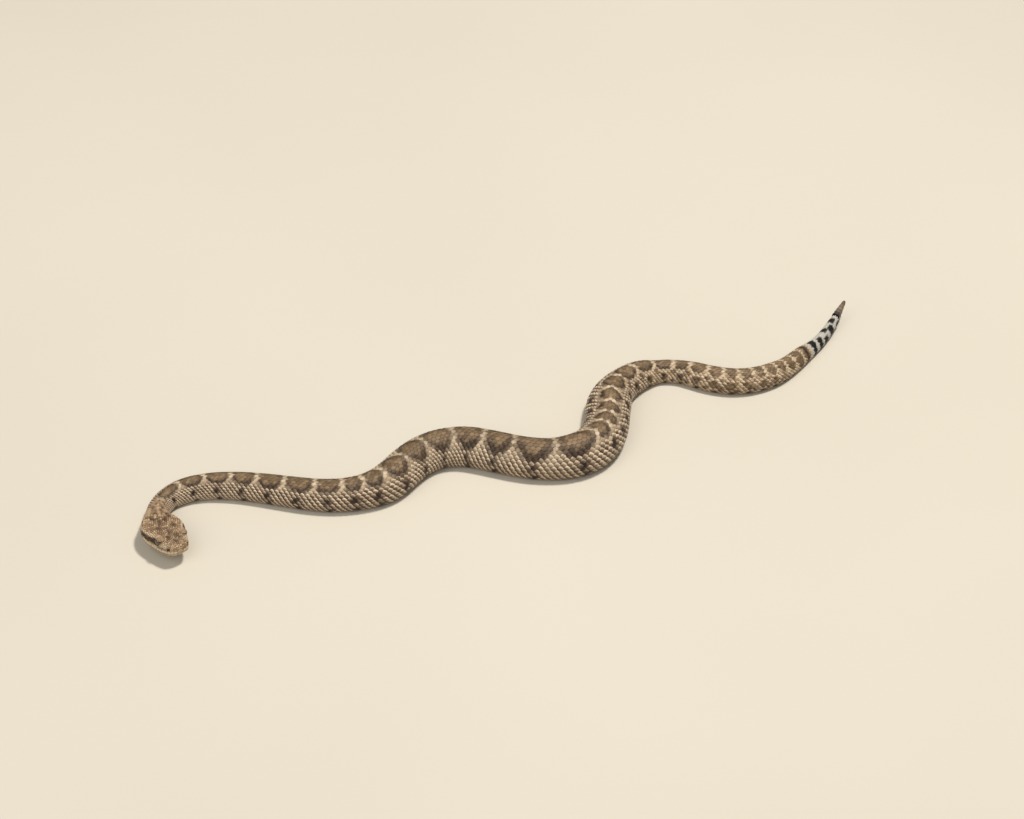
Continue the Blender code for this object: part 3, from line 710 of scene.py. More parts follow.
def lay_scales(name, root_s, root_g, root_pitch, row_width, material):
    """Joins one scale for each root into a mesh: seven rings of eight points that swell, lift and taper."""
    share, half, rise = np.array(SCALE_RINGS).T
    count = len(root_s)
    mid_s, mid_g, size = root_s[:, None, None], root_g[:, None, None], root_pitch[:, None, None]
    s = mid_s + (share[None, :, None] - 0.5) * size * SCALE_LENGTH + 0 * SCALE_RISE
    g = mid_g + SCALE_WIDTH / 2 * row_width * half[None, :, None] * SCALE_ACROSS
    bulge = SCALE_RISE * (0.35 + 0.65 * np.sin(np.pi * share)[None, :, None])
    points = surface(s, g, (rise[None, :, None] + bulge) * (size / FULL_PITCH) ** 0.7)
    one = sealed_faces(len(share), len(SCALE_ACROSS))
    made = add_mesh(name, points.reshape(-1, 3), copies(one, count, s[0].size), material)
    whole, spot = markings(mid_s + 0 * s, mid_g + 0 * s), markings(s, g)
    own = {key: OWN_COLOUR.get(key, OWN_SHARE) for key in whole}
    toward_back = -np.sign(mid_g) * SCALE_ACROSS
    dark_share = np.clip(whole["brown"] + whole["dark"] + whole["chalk"], 0, 1)
    below_edge = (1 - toward_back) * half[None, :, None] * SCALE_WIDTH / 2
    # The rim is partly the scale's own pale edge and partly painted highlight, where the raised upper rear
    # edge catches the light.
    rim_and_highlight = (1 - ramp(below_edge, RIM_ROWS * 0.6, RIM_ROWS * 1.4)) * ramp(share, 0.38, 0.5)[None, :, None]
    draw = np.random.default_rng(count)
    tone = draw.uniform(0, 1, count)[:, None, None]
    rim_and_highlight = rim_and_highlight * whole["flank"] * (1 - dark_share) * draw.uniform(0.55, 1, count)[:, None, None]
    flecked = 0.6 * (draw.uniform(0, 1, count) < FLECKED_SHARE)[:, None, None] * whole["flank"]
    whole["dusky"] = np.maximum(whole["dusky"], flecked)
    # Each scale is painted darker over its front, partly its own dark base and partly painted shade where
    # the scale ahead laps over it.
    base = (1 - ramp(share, 0.38, 0.86))[None, :, None] * (0.35 + 0.65 * whole["flank"])
    base = base * (1 - 0.4 * whole["warm"])
    carry(made, {key: own[key] * whole[key] + (1 - own[key]) * spot[key] for key in whole})
    carry(made, {"tone": tone + 0 * s, "edge": rim_and_highlight, "base": base + 0 * s})
    bake_patches(made, mid_s, mid_g, share[None, :, None] - 0.5 + 0.5 * SCALE_RISE,
                 half[None, :, None] * SCALE_ACROSS / 2, BAKE_PATCH)
    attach(made, "root")


scale_finish = scale_paint("scales", 1.0, 0.5)
root_s, root_g, root_pitch = lattice(np.arange(-12, 13))
on_trunk = (root_s > SCALES_START) & (root_s < TAIL_START + 1)
root_s, root_g, root_pitch = root_s[on_trunk], root_g[on_trunk], root_pitch[on_trunk]
pieces = math.ceil(len(root_s) / SCALES_A_PIECE)
for number, part in enumerate(np.array_split(np.argsort(root_s, kind="stable"), pieces), start=1):
    lay_scales(f"back_scales_{number}", root_s[part], root_g[part], root_pitch[part], 1.0, scale_finish)

TAIL_ROWS = 17
root_s, root_g, root_pitch = lattice(np.arange(TAIL_ROWS) - TAIL_ROWS // 2)
on_tail = (root_s >= TAIL_START + 1) & (root_s < TAIL_END - 1.0)
tail_step = 2 * BACK_ROWS / TAIL_ROWS
lay_scales("tail_scales", root_s[on_tail], root_g[on_tail] * tail_step, root_pitch[on_tail], tail_step,
           scale_finish)

# Belly scutes. A single row of broad smooth plates, one for each step of the scale rows, carries the
# snake over the ground; each is free along its rear edge and laps over the front of the next.
SCUTE_LOOP = np.array([(-0.1, 0.0), (0.2, 0.12), (0.6, 0.30), (1.0, 0.42), (1.22, 0.45), (1.24, 0.30),
                       (0.9, 0.18), (0.3, 0.0)])    # (place along in pitches, height in mm), top then under
SCUTE_COLUMNS = 20
SCUTE_EDGE = 12.35             # the row at which a scute ends on each flank
SCUTES_START = 25.5
scute_s = stations[stations > SCUTES_START]
scute_pitch = smooth(scute_s, PITCH)
across = np.linspace(SCUTE_EDGE, 2 * HALF_GIRTH - SCUTE_EDGE, SCUTE_COLUMNS)
across = np.where(across > HALF_GIRTH, across - 2 * HALF_GIRTH, across)
taper = 1 - 0.9 * np.abs(np.linspace(-1, 1, SCUTE_COLUMNS)) ** 8
s = scute_s[:, None, None] + scute_pitch[:, None, None] * SCUTE_LOOP[None, :, 0, None] + 0 * across
g = across + 0 * s
count, loop, columns = s.shape
points = surface(s, g, SCUTE_LOOP[None, :, 1, None] * taper + 0 * s)
one = [(ring * columns + column, ring * columns + column + 1, (ring + 1) % loop * columns + column + 1,
        (ring + 1) % loop * columns + column) for ring in range(loop) for column in range(columns - 1)]
one += [tuple(ring * columns for ring in range(loop))[::-1],
        tuple(ring * columns + columns - 1 for ring in range(loop))]
faces = copies(one, count, loop * columns)
scutes = add_mesh("belly_scutes", points.reshape(-1, 3), faces, scale_paint("scutes", 1.0, 0.38))
carry(scutes, markings(s, g))
scute_tone = np.random.default_rng(7).uniform(0.3, 1, count)[:, None, None] + 0 * s
carry(scutes, {"tone": scute_tone, "edge": 0 * s, "base": 0 * s})
loop_along, loop_height = SCUTE_LOOP.T[:, None, :, None]
bake_patches(scutes, scute_s[:, None, None], HALF_GIRTH, loop_along / 1.4 - 0.4 + 0 * s,
             (np.linspace(-0.4, 0.4, SCUTE_COLUMNS) + 0.2 * loop_height), BAKE_PATCH)
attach(scutes, "root")

# Named head plates. The rostral and mental at the tip of the snout, a row of labials along each lip, and a
# pair of chin shields are larger and smoother than the scales round them. Each is drawn as an outline on
# one view of the head, rounded, and raised into a low pillow.
OUTLINE_POINTS = 24
HEAD_PATCH = 0.002
PLATE_RINGS = [(1.0, -0.12), (0.97, 0.10), (0.86, 0.22), (0.6, 0.30), (0.3, 0.33)]   # (share out, height)
PLATE_TOP = 0.34               # height of a plate's middle
PLATE_GAP = 0.97               # how much of its outline a plate fills
UPPER_LABIALS = 15
LOWER_LABIALS = 15
UPPER_LIP_START = 1.75         # how far along the mouth line the first labial begins
LOWER_LIP_START = 1.45
UPPER_LIP = [(0, 2.0), (0.3, 1.7), (0.7, 1.6), (1, 1.9)]       # (share along the lip, height of the plates)
LOWER_LIP = [(0, 1.4), (0.3, 1.5), (0.7, 1.3), (1, 1.5)]


def head_sizes(s):
    """The head's half width, top, chin, level of its widest place, and boxiness at s."""
    return [smooth(s, knots) for knots in (HEAD_HALF_WIDTH, HEAD_TOP, HEAD_CHIN, HEAD_WIDEST, HEAD_BOXINESS)]


def girth(turn, y):
    """The row that a turn of the section lies at, on the side that y is on."""
    return np.where(y < 0, -1, 1) * (np.pi / 2 - turn) * HALF_GIRTH / np.pi


def from_side(s, z, y=1.0):
    """The head's place that a view from the side shows at s and z, by undoing the superellipse."""
    _, top, chin, level, power = head_sizes(s)
    up = np.where(z > level, (z - level) / (top - level), (z - level) / (level - chin))
    up = np.clip(up, -1, 1)
    return s + 0 * z, girth(np.arcsin(np.sign(up) * np.abs(up) ** (1 / power)), y)


def from_top(s, y, way=1):
    """The head's place that a view from above shows at s and y; with a way of -1, one from below."""
    half, _, _, _, power = head_sizes(s)
    return s + 0 * y, girth(way * np.arccos(np.clip(np.abs(y) / half, 0, 1) ** (1 / power)), y)


def from_below(s, y):
    """The head's place that a view from below shows at s and y."""
    return from_top(s, y, -1)


def from_front(y, z):
    """The head's place that a view from the front shows: halving the range of s that holds it."""
    low, high = np.full(np.shape(y), SNOUT_TIP), np.full(np.shape(y), 8.0)
    for _ in range(30):
        s = (low + high) / 2
        half, top, chin, level, power = head_sizes(np.maximum(s, SNOUT_EDGE))
        share = np.clip((s - SNOUT_TIP) / (SNOUT_EDGE - SNOUT_TIP), 0.01, 1)
        across = np.abs(y) / share / half
        up = SNOUT_MIDDLE + (z - SNOUT_MIDDLE) / share - level
        up = np.where(up > 0, up / (top - level), up / (level - chin))
        outside = across ** (2 / power) + np.abs(up) ** (2 / power) > 1
        low, high = np.where(outside, s, low), np.where(outside, high, s)
    turn = np.arctan2(np.sign(up) * np.abs(up) ** (1 / power), across ** (1 / power))
    return s, girth(turn, y)


# The mouth line, run from the middle of the snout round to its corner, in equal steps.
FRONT_REACH = 4.6
front_y = np.linspace(0, FRONT_REACH, 40)
front_s, front_g = from_front(front_y, smooth(front_y * 0, MOUTH_LINE))
side_s = np.linspace(front_s[-1], MOUTH_CORNER, 160)[1:]
side_s, side_g = from_side(side_s, smooth(side_s, MOUTH_LINE))
mouth_s = np.concatenate([front_s, side_s])
mouth_g = np.concatenate([front_g, side_g])
mouth_y = np.concatenate([front_y, section(side_s, side_g)[0]])
mouth_run = np.linalg.norm(np.diff(form(mouth_s, mouth_g), axis=0), axis=1) / MM
mouth_run = np.concatenate([[0], np.cumsum(mouth_run)])


def from_lip(run, height):
    """The head's place that far along the mouth line and that far above it, as (run, height)."""
    sign = np.where(run < 0, -1, 1)
    run = np.abs(run)
    s, y = np.interp(run, mouth_run, mouth_s), np.interp(run, mouth_run, mouth_y)
    ahead_s, ahead_g = from_front(y, smooth(s, MOUTH_LINE) + height)
    beside_s, beside_g = from_side(s, smooth(s, MOUTH_LINE) + height)
    share = ramp(s, 0.8, 3.0)
    return ahead_s + share * (beside_s - ahead_s), (ahead_g + share * (beside_g - ahead_g)) * sign


def pillow_faces(rings, sides):
    """The quads of a pillow's rings, a fan to the point on its top, and a flat face under its foot."""
    last, top = (rings - 1) * sides, rings * sides
    fan = [(last + k, last + (k + 1) % sides, top) for k in range(sides)]
    return grid_faces(rings, sides) + fan + [tuple(range(sides))[::-1]]


def rounded(corners):
    """Walks round the corners in equal steps and softens the turns."""
    corners = np.array(corners, dtype=float)
    ends = np.roll(corners, -1, axis=0)
    run = np.concatenate([[0], np.cumsum(np.linalg.norm(ends - corners, axis=1))])
    at = np.arange(OUTLINE_POINTS) / OUTLINE_POINTS * run[-1]
    both = np.concatenate([corners, corners[:1]])
    outline = np.stack([np.interp(at, run, both[:, 0]), np.interp(at, run, both[:, 1])], axis=1)
    for _ in range(2):
        outline = (np.roll(outline, 1, axis=0) + 2 * outline + np.roll(outline, -1, axis=0)) / 4
    return outline


drawn = [                      # (view, corners in the terms of that view)
    (from_front, [(-1.5, 3.85), (1.5, 3.85), (1.8, 4.8), (1.2, 6.0), (0, 6.5), (-1.2, 6.0), (-1.8, 4.8)]),
    (from_front, [(-1.3, 3.5), (-0.9, 2.5), (0, 2.0), (0.9, 2.5), (1.3, 3.5)]),
]
for sign in (-1, 1):
    drawn.append((from_below, [(2.6, 0.15 * sign), (2.9, 1.7 * sign), (5.2, 2.5 * sign), (7.4, 1.7 * sign),
                               (7.6, 0.15 * sign)]))
    lip_end = mouth_run[-1]
    for count, heights, way, lip_start in ((UPPER_LABIALS, UPPER_LIP, 1, UPPER_LIP_START),
                                           (LOWER_LABIALS, LOWER_LIP, -1, LOWER_LIP_START)):
        steps = np.linspace(lip_start, lip_end, count + 1)
        for begin, end in zip(steps[:-1], steps[1:]):
            tall = [way * float(smooth(at / lip_end, heights)) for at in (begin, end)]
            drawn.append((from_lip, [(begin * sign, -0.04 * way), (end * sign, -0.04 * way),
                                     ((end + 0.15) * sign, tall[1]), ((begin + 0.15) * sign, tall[0])]))

# Each outline shrinks to its rings round its middle, and its view turns them into places.
plate_s, plate_g = [], []
ring_share, ring_out = np.array(PLATE_RINGS).T
for view, corners in drawn:
    outline = rounded(corners)
    middle = outline.mean(axis=0)
    fans = middle + (outline - middle)[None] * (ring_share * PLATE_GAP)[:, None, None]
    s, g = view(fans[..., 0], fans[..., 1])
    mid_s, mid_g = view(middle[:1], middle[1:])
    plate_s.append(np.concatenate([s.ravel(), mid_s]))
    plate_g.append(np.concatenate([g.ravel(), mid_g]))
plate_s, plate_g = np.array(plate_s), np.array(plate_g)
plate_out = np.concatenate([np.repeat(ring_out, OUTLINE_POINTS), [PLATE_TOP]])
per = len(plate_out)
# A plate that shows mirrored in its view has its outline turned round, so that all faces look outwards.
points = surface(plate_s, plate_g, plate_out + 0 * plate_s)
bare = surface(plate_s[:, -1:], plate_g[:, -1:], 0.0 * plate_s[:, -1:])
first, second = points[:, 0] - points[:, -1], points[:, 6] - points[:, -1]
facing = np.einsum("ij,ij->i", np.cross(first, second), points[:, -1] - bare[:, 0]) > 0
one = pillow_faces(len(ring_share), OUTLINE_POINTS)
last_ring = (len(ring_share) - 1) * OUTLINE_POINTS
faces = [[corner + number * per for corner in (face if facing[number] else face[::-1])]
         for number in range(len(drawn)) for face in one]
head_finish = scale_paint("head_scales", 1.0, 0.45)
plates = add_mesh("head_plates", points.reshape(-1, 3), faces, head_finish)
whole = markings(plate_s[:, -1:] + 0 * plate_s, plate_g[:, -1:] + 0 * plate_s)
spot = markings(plate_s, plate_g)
carry(plates, {key: 0.5 * whole[key] + 0.5 * spot[key] for key in whole})
carry(plates, {"tone": np.random.default_rng(11).uniform(0.4, 1, len(drawn))[:, None] + 0 * plate_s,
               "edge": 0 * plate_s, "base": 0 * plate_s})
outline_turn = np.arange(OUTLINE_POINTS) / OUTLINE_POINTS * 2 * np.pi
first = np.append((ring_share[:, None] * np.cos(outline_turn)).ravel() / 2, 0.0)
second = np.append((ring_share[:, None] * np.sin(outline_turn)).ravel() / 2, 0.0)
bake_patches(plates, plate_s[:, -1:], plate_g[:, -1:], first[None], second[None], HEAD_PATCH)
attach(plates, "root")

# Small head scales. They fill all of the head that the named plates leave: a ring round each eye, nostril
# and pit, larger ones over the edge of the snout, and keeled ones over the crown and the cheeks. Each is
# the part of the skin that is nearer to its own middle than to any other's, raised and keeled.
CELL_SIDES = 12
CELL_RINGS = [(1.0, -0.14), (0.93, 0.10), (0.6, 0.25)]         # (share out, height)
CELL_TOP = 0.29                # height of a scale's middle
CELL_KEEL = 0.10               # how much higher a scale's keel and its rear stand
CELL_STEPS = 36                # steps in which a scale's edge is sought
CELL_SPACING = 1.04            # how far apart two scales settle, in the sum of their half widths
CELL_LIMIT = 1.7               # how far a scale may reach, in half widths
CELL_LEAST = (0.27, 0.08)      # a scale that reaches less, on average and anywhere, is left out
CELL_FILL = 0.96               # how much of its part of the skin a scale fills
CELL_LAP = 0.16                # how much further a scale reaches over the next one behind
FULL_CELL = 0.65               # at this half width a scale stands as high as its rings say
FILL_SIZE = [(-1, 0.52), (6, 0.56), (14, 0.64), (27, 0.72)]    # half the width of a scale, along the head
NAMED_CELLS = [                # (view, first, second, half width), for the right side
    (from_top, 1.5, 1.1, 0.95), (from_side, 1.3, 6.1, 0.62), (from_side, 3.8, 6.4, 0.62),
    (from_top, 3.7, 4.7, 0.85), (from_top, 5.7, 5.5, 0.95), (from_side, 5.4, 7.2, 0.6),
    (from_side, 7.0, 7.6, 0.55), (from_side, 7.2, 6.4, 0.5), (from_side, 6.9, 5.1, 0.55),
]
EYE_RING = 13                  # scales round each eye
EYE_RING_RADIUS = 2.3
FREE_TRIES = 6000              # places drawn at random, of which the scales' sizes leave some
CELL_AREA = 3.3                # the skin that a scale takes up, in squares of half its width
SETTLING_STEPS = 70            # how often the scales push each other apart
NEIGHBOURS = 28                # how many of the places round it a scale is bounded by
FLECK_SHARE = 0.2              # how many of the scales are dusky, at random
BROW_FOOT = (10.0, 6.2, 2.9, 1.8)      # (s, y, half length, half width) of the brow plate's foot


def view_points(view, first, second):
    """The places that a view gives, as pairs of s and g."""
    return np.stack(view(np.asarray(first, dtype=float), np.asarray(second, dtype=float)), axis=-1)


def slide(move, along, side):
    """The steps of s and g that make a move over the surface: the least squares of its two tangents."""
    aa, ab, bb = ((p * q).sum(axis=-1) for p, q in ((along, along), (along, side), (side, side)))
    ma, mb = (move * along).sum(axis=-1), (move * side).sum(axis=-1)
    det = np.maximum(aa * bb - ab ** 2, 1e-6)
    return (bb * ma - ab * mb) / det, (aa * mb - ab * ma) / det


# Walls, the places that no scale grows over: the mouth line, the hollows, the feet of the brow plates
# and the named plates.
turn = np.arange(24) / 24 * 2 * np.pi
walls = [np.stack([mouth_s, mouth_g], axis=1)]
for at_s, at_z, radius, _ in HOLLOWS:
    walls.append(view_points(from_side, at_s + 0.9 * radius * np.cos(turn),
                             at_z + 0.9 * radius * np.sin(turn)))
foot_s, foot_y, foot_length, foot_width = BROW_FOOT
for share in (0.9, 0.55, 0.2):
    walls.append(view_points(from_top, foot_s + foot_length * share * np.cos(turn),
                             foot_y + foot_width * share * np.sin(turn)))
walls = np.concatenate(walls)
walls = np.concatenate([walls, walls * (1, -1)])
plate_walls = np.stack([plate_s, plate_g], axis=-1)
inner = np.concatenate([plate_walls[:, last_ring::3],
                        plate_walls[:, 3 * OUTLINE_POINTS:last_ring:3]], axis=1)
walls = np.concatenate([walls, plate_walls[:, :OUTLINE_POINTS:2].reshape(-1, 2), inner.reshape(-1, 2)])
# The scales that have a place of their own, on both sides, and the first rows of the neck.
named = [view_points(view, first, second) for view, first, second, _ in NAMED_CELLS]
named_size = [size for *_, size in NAMED_CELLS]
eye_turn = np.arange(EYE_RING) / EYE_RING * 2 * np.pi
ring_z = EYE_PLACE[2] + EYE_RING_RADIUS * np.sin(eye_turn)
eye_ring_s = EYE_PLACE[0] + EYE_RING_RADIUS * np.cos(eye_turn)
named += list(view_points(from_side, eye_ring_s, ring_z)[ring_z < 8.5])
named_size += [0.5] * (len(named) - len(named_size))
named, named_size = np.array(named), np.array(named_size)
named = np.concatenate([named, named * (1, -1)])
named_size = np.concatenate([named_size, named_size])
lattice_s, lattice_g, _ = lattice(np.arange(-12, 13))
nape = (lattice_s > MOUTH_CORNER + 1) & (lattice_s < SCALES_START + 2)
nape = np.stack([lattice_s[nape], lattice_g[nape]], axis=1)
# The others are drawn at random, more of them where they are small, and push each other apart.
draw = np.random.default_rng(21)
free = np.stack([draw.uniform(SNOUT_TIP + 0.3, SCUTES_START, FREE_TRIES),
                 draw.uniform(-HALF_GIRTH, HALF_GIRTH, FREE_TRIES)], axis=1)
along, side = tangents(free[:, 0], free[:, 1])
area = np.linalg.norm(np.cross(along, side), axis=1) / MM ** 2
area = area * (SCUTES_START - SNOUT_TIP - 0.3) * 2 * HALF_GIRTH
need = area / len(free) / (CELL_AREA * smooth(free[:, 0], FILL_SIZE) ** 2)
off_scutes = (free[:, 0] < MOUTH_CORNER + 1) | (np.abs(free[:, 1]) > 12.6)
free = free[(draw.uniform(0, 1, len(free)) < need) & off_scutes]
fixed = np.concatenate([named, nape, walls])
fixed_size = np.concatenate([named_size, smooth(nape[:, 0], FILL_SIZE), np.full(len(walls), 0.1)])
fixed_points = form(fixed[:, 0], fixed[:, 1]) / MM
for _ in range(SETTLING_STEPS):
    points = form(free[:, 0], free[:, 1]) / MM
    size = smooth(free[:, 0], FILL_SIZE)
    others = np.concatenate([points, fixed_points])
    apart = points[:, None] - others[None]
    distance = np.linalg.norm(apart, axis=-1) + 1e-6
    wanted = CELL_SPACING * (size[:, None] + np.concatenate([size, fixed_size])[None])
    push = np.clip(wanted - distance, 0, None) / distance * 0.4
    push[np.arange(len(free)), np.arange(len(free))] = 0
    move = (push[..., None] * apart).sum(axis=1)
    along, side = (part / MM for part in tangents(free[:, 0], free[:, 1]))
    free = free + np.clip(np.stack(slide(move, along, side), axis=1), -0.4, 0.4)
    free[:, 0] = np.clip(free[:, 0], SNOUT_TIP + 0.2, SCUTES_START + 0.5)
    free[:, 1] = (free[:, 1] + HALF_GIRTH) % (2 * HALF_GIRTH) - HALF_GIRTH

# The edge of each is sought on rays from its middle: how far they stay nearer to it than to any other.
own = np.concatenate([named, nape[nape[:, 0] < SCALES_START], free])
own_size = np.concatenate([named_size, smooth(nape[nape[:, 0] < SCALES_START, 0], FILL_SIZE),
                           smooth(free[:, 0], FILL_SIZE)])
everything = np.concatenate([own, nape[nape[:, 0] >= SCALES_START], walls])
every_size = np.concatenate([own_size, np.full(len(everything) - len(own), 0.1)])
every_size[len(own):len(everything) - len(walls)] = 0.7
centre = form(own[:, 0], own[:, 1]) / MM
every_point = form(everything[:, 0], everything[:, 1]) / MM
along, side = (part / MM for part in tangents(own[:, 0], own[:, 1]))
rearward = along / np.linalg.norm(along, axis=1, keepdims=True)
normal = np.cross(along, side)
normal /= np.linalg.norm(normal, axis=1, keepdims=True)
around = np.cross(normal, rearward)
reach = np.linalg.norm(centre[:, None] - every_point[None], axis=-1) - every_size[None]
reach[np.arange(len(own)), np.arange(len(own))] = 1e9
near = np.argpartition(reach, NEIGHBOURS, axis=1)[:, :NEIGHBOURS]
offset = every_point[near] - centre[:, None]
flat = np.stack([np.einsum("ijk,ik->ij", offset, rearward),
                 np.einsum("ijk,ik->ij", offset, around)], axis=-1)
direction = np.arange(CELL_SIDES) / CELL_SIDES * 2 * np.pi
ray = np.stack([np.cos(direction), np.sin(direction)], axis=1)
radii = np.linspace(0.04, 2.0, CELL_STEPS)
probe = ray[:, None] * radii[None, :, None]
gap = np.linalg.norm(probe[None, :, :, None] - flat[:, None, None], axis=-1)
gap = gap - every_size[near][:, None, None]
mine = radii[None, None] - own_size[:, None, None] < gap.min(axis=-1)
inside = np.cumprod(mine, axis=-1).sum(axis=-1)
radius = radii[np.clip(inside - 1, 0, CELL_STEPS - 1)] * (inside > 0)
radius = np.minimum(radius, own_size[:, None] * CELL_LIMIT)
kept = (radius.mean(axis=1) > CELL_LEAST[0]) & (radius.min(axis=1) > CELL_LEAST[1])
own, own_size, centre, radius = own[kept], own_size[kept], centre[kept], radius[kept]
along, side, rearward, around, normal = (part[kept] for part in (along, side, rearward, around, normal))
radius = (np.roll(radius, 1, axis=1) + 4 * radius + np.roll(radius, -1, axis=1)) / 6
# The rings inside that edge are laid on the skin, in three steps that each make up what is missed.
share, height = np.array(CELL_RINGS).T
flat = (radius[:, None, :, None] * share[None, :, None, None] * ray[None, None]).reshape(len(own), -1, 2)
flat = np.concatenate([flat, np.zeros((len(own), 1, 2))], axis=1) * CELL_FILL
flat[..., 0] *= 1 + CELL_LAP * (flat[..., 0] > 0) * (own[:, :1] > 7)
target = flat[..., :1] * rearward[:, None] + flat[..., 1:] * around[:, None]
s, g = own[:, :1] + 0 * flat[..., 0], own[:, 1:] + 0 * flat[..., 0]
for _ in range(3):
    miss = target - (form(s, g) / MM - centre[:, None])
    step_s, step_g = slide(miss, along[:, None], side[:, None])
    s, g = s + step_s, g + step_g
# They rise to the middle, and those of the crown and the cheeks to a keel as well.
keeled = (ramp(own[:, 0], 5, 9) * (1 - ramp(np.abs(own[:, 1]), 8.5, 10.5)))[:, None]
out = np.concatenate([np.repeat(height, CELL_SIDES), [CELL_TOP]]) * (own_size[:, None] / FULL_CELL)
lean = flat[..., 0] / own_size[:, None]
out = out + CELL_KEEL * keeled * lean * (out > 0)
on_keel = np.abs(flat[..., 1]) < 0.12
ring_number = np.concatenate([np.repeat(np.arange(len(share)), CELL_SIDES), [len(share)]])
out = out + keeled * CELL_KEEL * on_keel * (ring_number >= 1)
points = surface(s, g, out)
faces = copies(pillow_faces(len(share), CELL_SIDES), len(own), len(ring_number))
cells = add_mesh("head_scales", points.reshape(-1, 3), faces, head_finish)
whole, spot = markings(own[:, :1] + 0 * s, own[:, 1:] + 0 * s), markings(s, g)
flecked = (np.random.default_rng(6).uniform(0, 1, len(own)) < FLECK_SHARE)[:, None] * 0.6 * (own[:, :1] < 34)
carry(cells, {key: 0.7 * whole[key] + 0.3 * spot[key] + (key == "dusky") * flecked for key in whole})
cell_tone = np.random.default_rng(5).uniform(0, 1, len(own))[:, None]
# The front of each head scale is painted darker as well: partly its own dark base, partly painted shade
# under the scale ahead.
carry(cells, {"tone": cell_tone + 0 * s, "edge": 0 * s, "base": 0.5 * (1 - ramp(lean, -1.0, 0.2))})
bake_patches(cells, own[:, :1], own[:, 1:], flat[..., 0] / own_size[:, None] / 3.6,
             flat[..., 1] / own_size[:, None] / 3.6, HEAD_PATCH)
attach(cells, "root")

# Brow plates. Over each eye stands one stiff plate of horn, thick at its root and thin at its outer edge,
# that shades the eye and gives the snake its frown.
BROW_RADII = (2.9, 1.9, 0.5)
BROW_PLACE = (10.0, 6.55, 8.98)
BROW_SIDES = 40
BROW_RINGS = 16
turn, rise = np.meshgrid(np.arange(BROW_SIDES) / BROW_SIDES * 2 * np.pi,
                         np.linspace(-np.pi / 2, np.pi / 2, BROW_RINGS + 2)[1:-1])
for sign, side_name in ((1, "right"), (-1, "left")):
    level = np.cos(rise) ** 0.5
    s = BROW_PLACE[0] + BROW_RADII[0] * level * np.cos(turn) + 0.25 * level * np.sin(turn)
    y = BROW_PLACE[1] + BROW_RADII[1] * level * np.sin(turn) * (1 - 0.12 * np.cos(turn))
    droop = 0.063 * (y - BROW_PLACE[1]) ** 2 + 0.12 * (y - BROW_PLACE[1])
    z = BROW_PLACE[2] + BROW_RADII[2] * np.sin(rise) - droop
    points = place(s, y * sign, z)
    ends = place(np.full(2, BROW_PLACE[0]), np.full(2, BROW_PLACE[1]) * sign,
                 BROW_PLACE[2] + BROW_RADII[2] * np.array([-1, 1]))
    faces = capped_faces(BROW_RINGS, BROW_SIDES)
    if sign > 0:
        faces = [face[::-1] for face in faces]
    brow = add_mesh(f"brow_{side_name}", np.concatenate([points.reshape(-1, 3), ends]), faces, head_finish)
    blank = np.zeros(len(brow.data.vertices))
    carry(brow, {name: blank for name in markings(np.zeros(1), np.zeros(1))})
    bar = np.concatenate([np.exp(-((s - 11.2) / 0.4) ** 2).ravel(), [0, 0]]) * 0.4
    mottle = (0.5 + 0.5 * np.sin(s * 2.6 + y * 1.3) * np.sin(y * 3.1 - s)).ravel()
    mottle = np.concatenate([mottle, [0.5, 0.5]])
    carry(brow, {"tone": mottle, "edge": bar, "base": 0.5 * mottle})
    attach(brow, "root")

# Eyes. Each is a ball behind one clear scale that never closes: a bronze iris, finely mottled, with an
# upright slit for a pupil.
EYE_SIDES = 48
EYE_BULGE = 1.5                # how far the ball stands out from its middle
EYE_RINGS = 32
turn, rise = np.meshgrid(np.arange(EYE_SIDES) / EYE_SIDES * 2 * np.pi,
                         np.linspace(0, np.pi, EYE_RINGS + 2)[1:-1])
eye_paint = Paint("eye")
ahead, upright = eye_paint.mask("ahead"), eye_paint.mask("upright")
# The pupil narrows to both ends; the slit is 1 inside it and falls to 0 over a twelfth of a millimetre.
width = (1.0 - upright * upright * 0.55) * 0.3
off_slit = eye_paint.node("ShaderNodeMath", {"operation": "ABSOLUTE"}, {0: ahead})
slit = eye_paint.clamp((width - off_slit) * 12.0)
iris = eye_paint.mix(tint(38, 27, 16), tint(96, 73, 45), eye_paint.noise(1800.0, 3.0))
# The lower half of the iris is painted darker: painted shade.
iris = eye_paint.mix(iris, tint(34, 24, 14), eye_paint.clamp(upright * -0.9))
eye_paint.finish(Base_Color=eye_paint.mix(iris, tint(8, 6, 5), slit), Roughness=0.06, Coat_Weight=1.0)
for sign, side_name in ((1, "right"), (-1, "left")):
    s = EYE_PLACE[0] + EYE_RADIUS * np.sin(rise) * np.cos(turn)
    z = EYE_PLACE[2] + EYE_RADIUS * np.sin(rise) * np.sin(turn)
    y = EYE_PLACE[1] + EYE_BULGE * np.cos(rise)
    points = place(s, y * sign, z)
    ends = place(np.full(2, EYE_PLACE[0]), (EYE_PLACE[1] + EYE_BULGE * np.array([1, -1])) * sign,
                 np.full(2, EYE_PLACE[2]))
    faces = capped_faces(EYE_RINGS, EYE_SIDES)
    if sign < 0:
        faces = [face[::-1] for face in faces]
    ball = add_mesh(f"eyeball_{side_name}", np.concatenate([points.reshape(-1, 3), ends]), faces,
                    eye_paint.material)
    carry(ball, {"ahead": np.append(s.ravel(), [EYE_PLACE[0]] * 2) - EYE_PLACE[0],
                 "upright": np.append(z.ravel(), [EYE_PLACE[2]] * 2) - EYE_PLACE[2]})
    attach(ball, "root")
    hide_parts(f"eye_{side_name}")

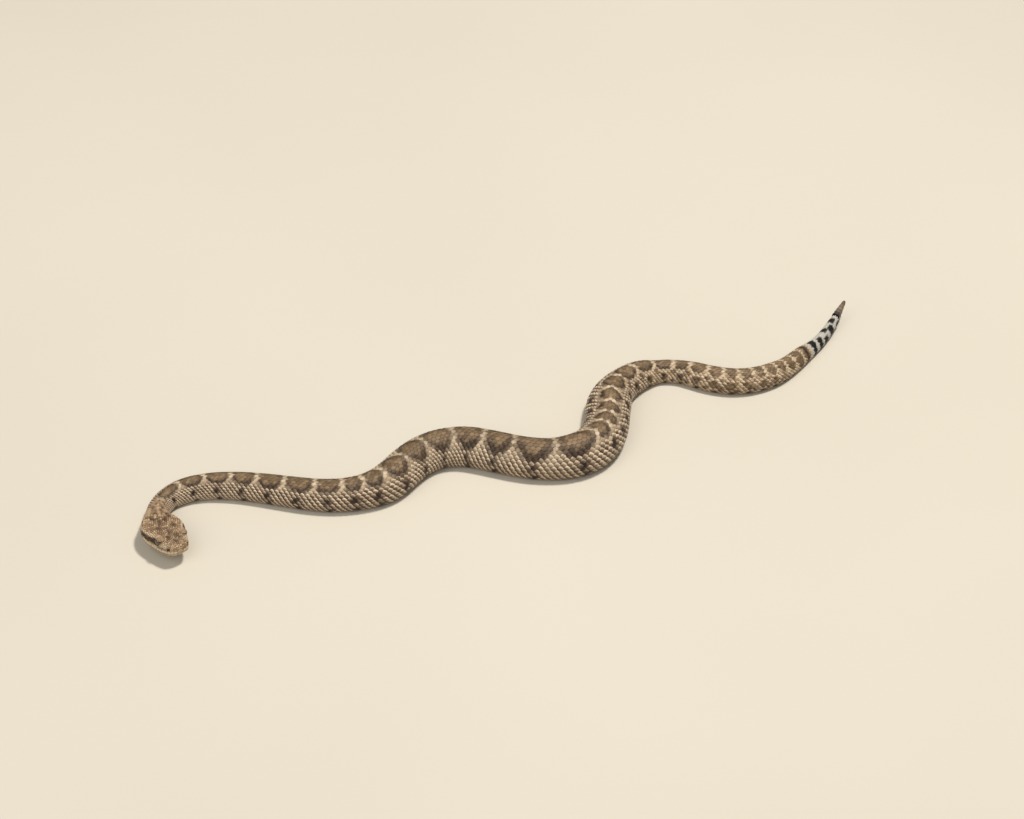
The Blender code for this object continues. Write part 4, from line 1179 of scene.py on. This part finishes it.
# Rattle. Loose rings of horn hook into each other behind the tail, one for each time that the skin was
# shed, down to the button the snake was born with; a shallow groove runs along each side.
RATTLE_NODES = ["rattle_base", "rattle_1", "rattle_2", "rattle_3", "rattle_button"]
RATTLE_LENGTH = 12.8
RATTLE_HEIGHT = [(0, 6.6), (4, 5.8), (8, 4.3), (12.8, 2.4)]
RATTLE_MIDDLE = 3.4            # how high the rattle's middle stands over the tail's underside
RATTLE_THICKNESS_SHARE = 0.78
RATTLE_LOBE = [                # (share of a ring's length, share of the rattle's height there)
    (-0.08, 0.84), (-0.03, 0.94), (0.12, 0.99), (0.4, 0.98), (0.7, 0.93), (0.9, 0.86), (1.0, 0.7),
]
RATTLE_RINGS = 22
RATTLE_SIDES = 56
GROOVE_DEPTH = 0.13            # as a share of the rattle's half thickness
rattle_paint = Paint("rattle")
age = rattle_paint.mask("age")
patchy = rattle_paint.noise(900.0, 4.0)
middle = rattle_paint.mix(tint(60, 50, 43), tint(122, 106, 88), age * 2.0 + (patchy - 0.5) * 0.3)
horn = rattle_paint.mix(middle, tint(88, 72, 50), rattle_paint.clamp(age * 3.0 - 1.6))
horn = rattle_paint.mix(tint(30, 24, 18), horn, rattle_paint.clamp(age * 6.0))
rattle_finish = rattle_paint.finish(Base_Color=horn, Roughness=0.42,
                                    Normal=rattle_paint.bump(0.3, patchy))
lobe_share = np.linspace(RATTLE_LOBE[0][0], RATTLE_LOBE[-1][0], RATTLE_RINGS)
angle = np.arange(RATTLE_SIDES) / RATTLE_SIDES * 2 * np.pi
groove = 1 - GROOVE_DEPTH * np.exp(-(np.sin(angle) / 0.3) ** 2)
segment = RATTLE_LENGTH / len(RATTLE_NODES)
button_taper = np.sqrt(np.clip(1 - ((lobe_share - 0.45) / 0.6).clip(0, 1) ** 4, 0.02, 1))
for number, node_name in enumerate(RATTLE_NODES):
    along = (number + lobe_share) * segment
    along[0] = max(along[0], 0.05)
    size = smooth(along, RATTLE_HEIGHT) * smooth(lobe_share, RATTLE_LOBE)
    size = size * (button_taper if number == len(RATTLE_NODES) - 1 else 1)
    y = size[:, None] / 2 * RATTLE_THICKNESS_SHARE * np.cos(angle) * groove
    z = RATTLE_MIDDLE + size[:, None] / 2 * np.sin(angle)
    points = place((TAIL_END + along)[:, None] + 0 * y, y, z)
    faces = sealed_faces(RATTLE_RINGS, RATTLE_SIDES)
    ring = add_mesh(f"{node_name}_horn", points.reshape(-1, 3), faces, rattle_finish)
    carry(ring, {"age": (along[:, None] / RATTLE_LENGTH + 0 * y)})
    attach(ring, "root")
    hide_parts(node_name)
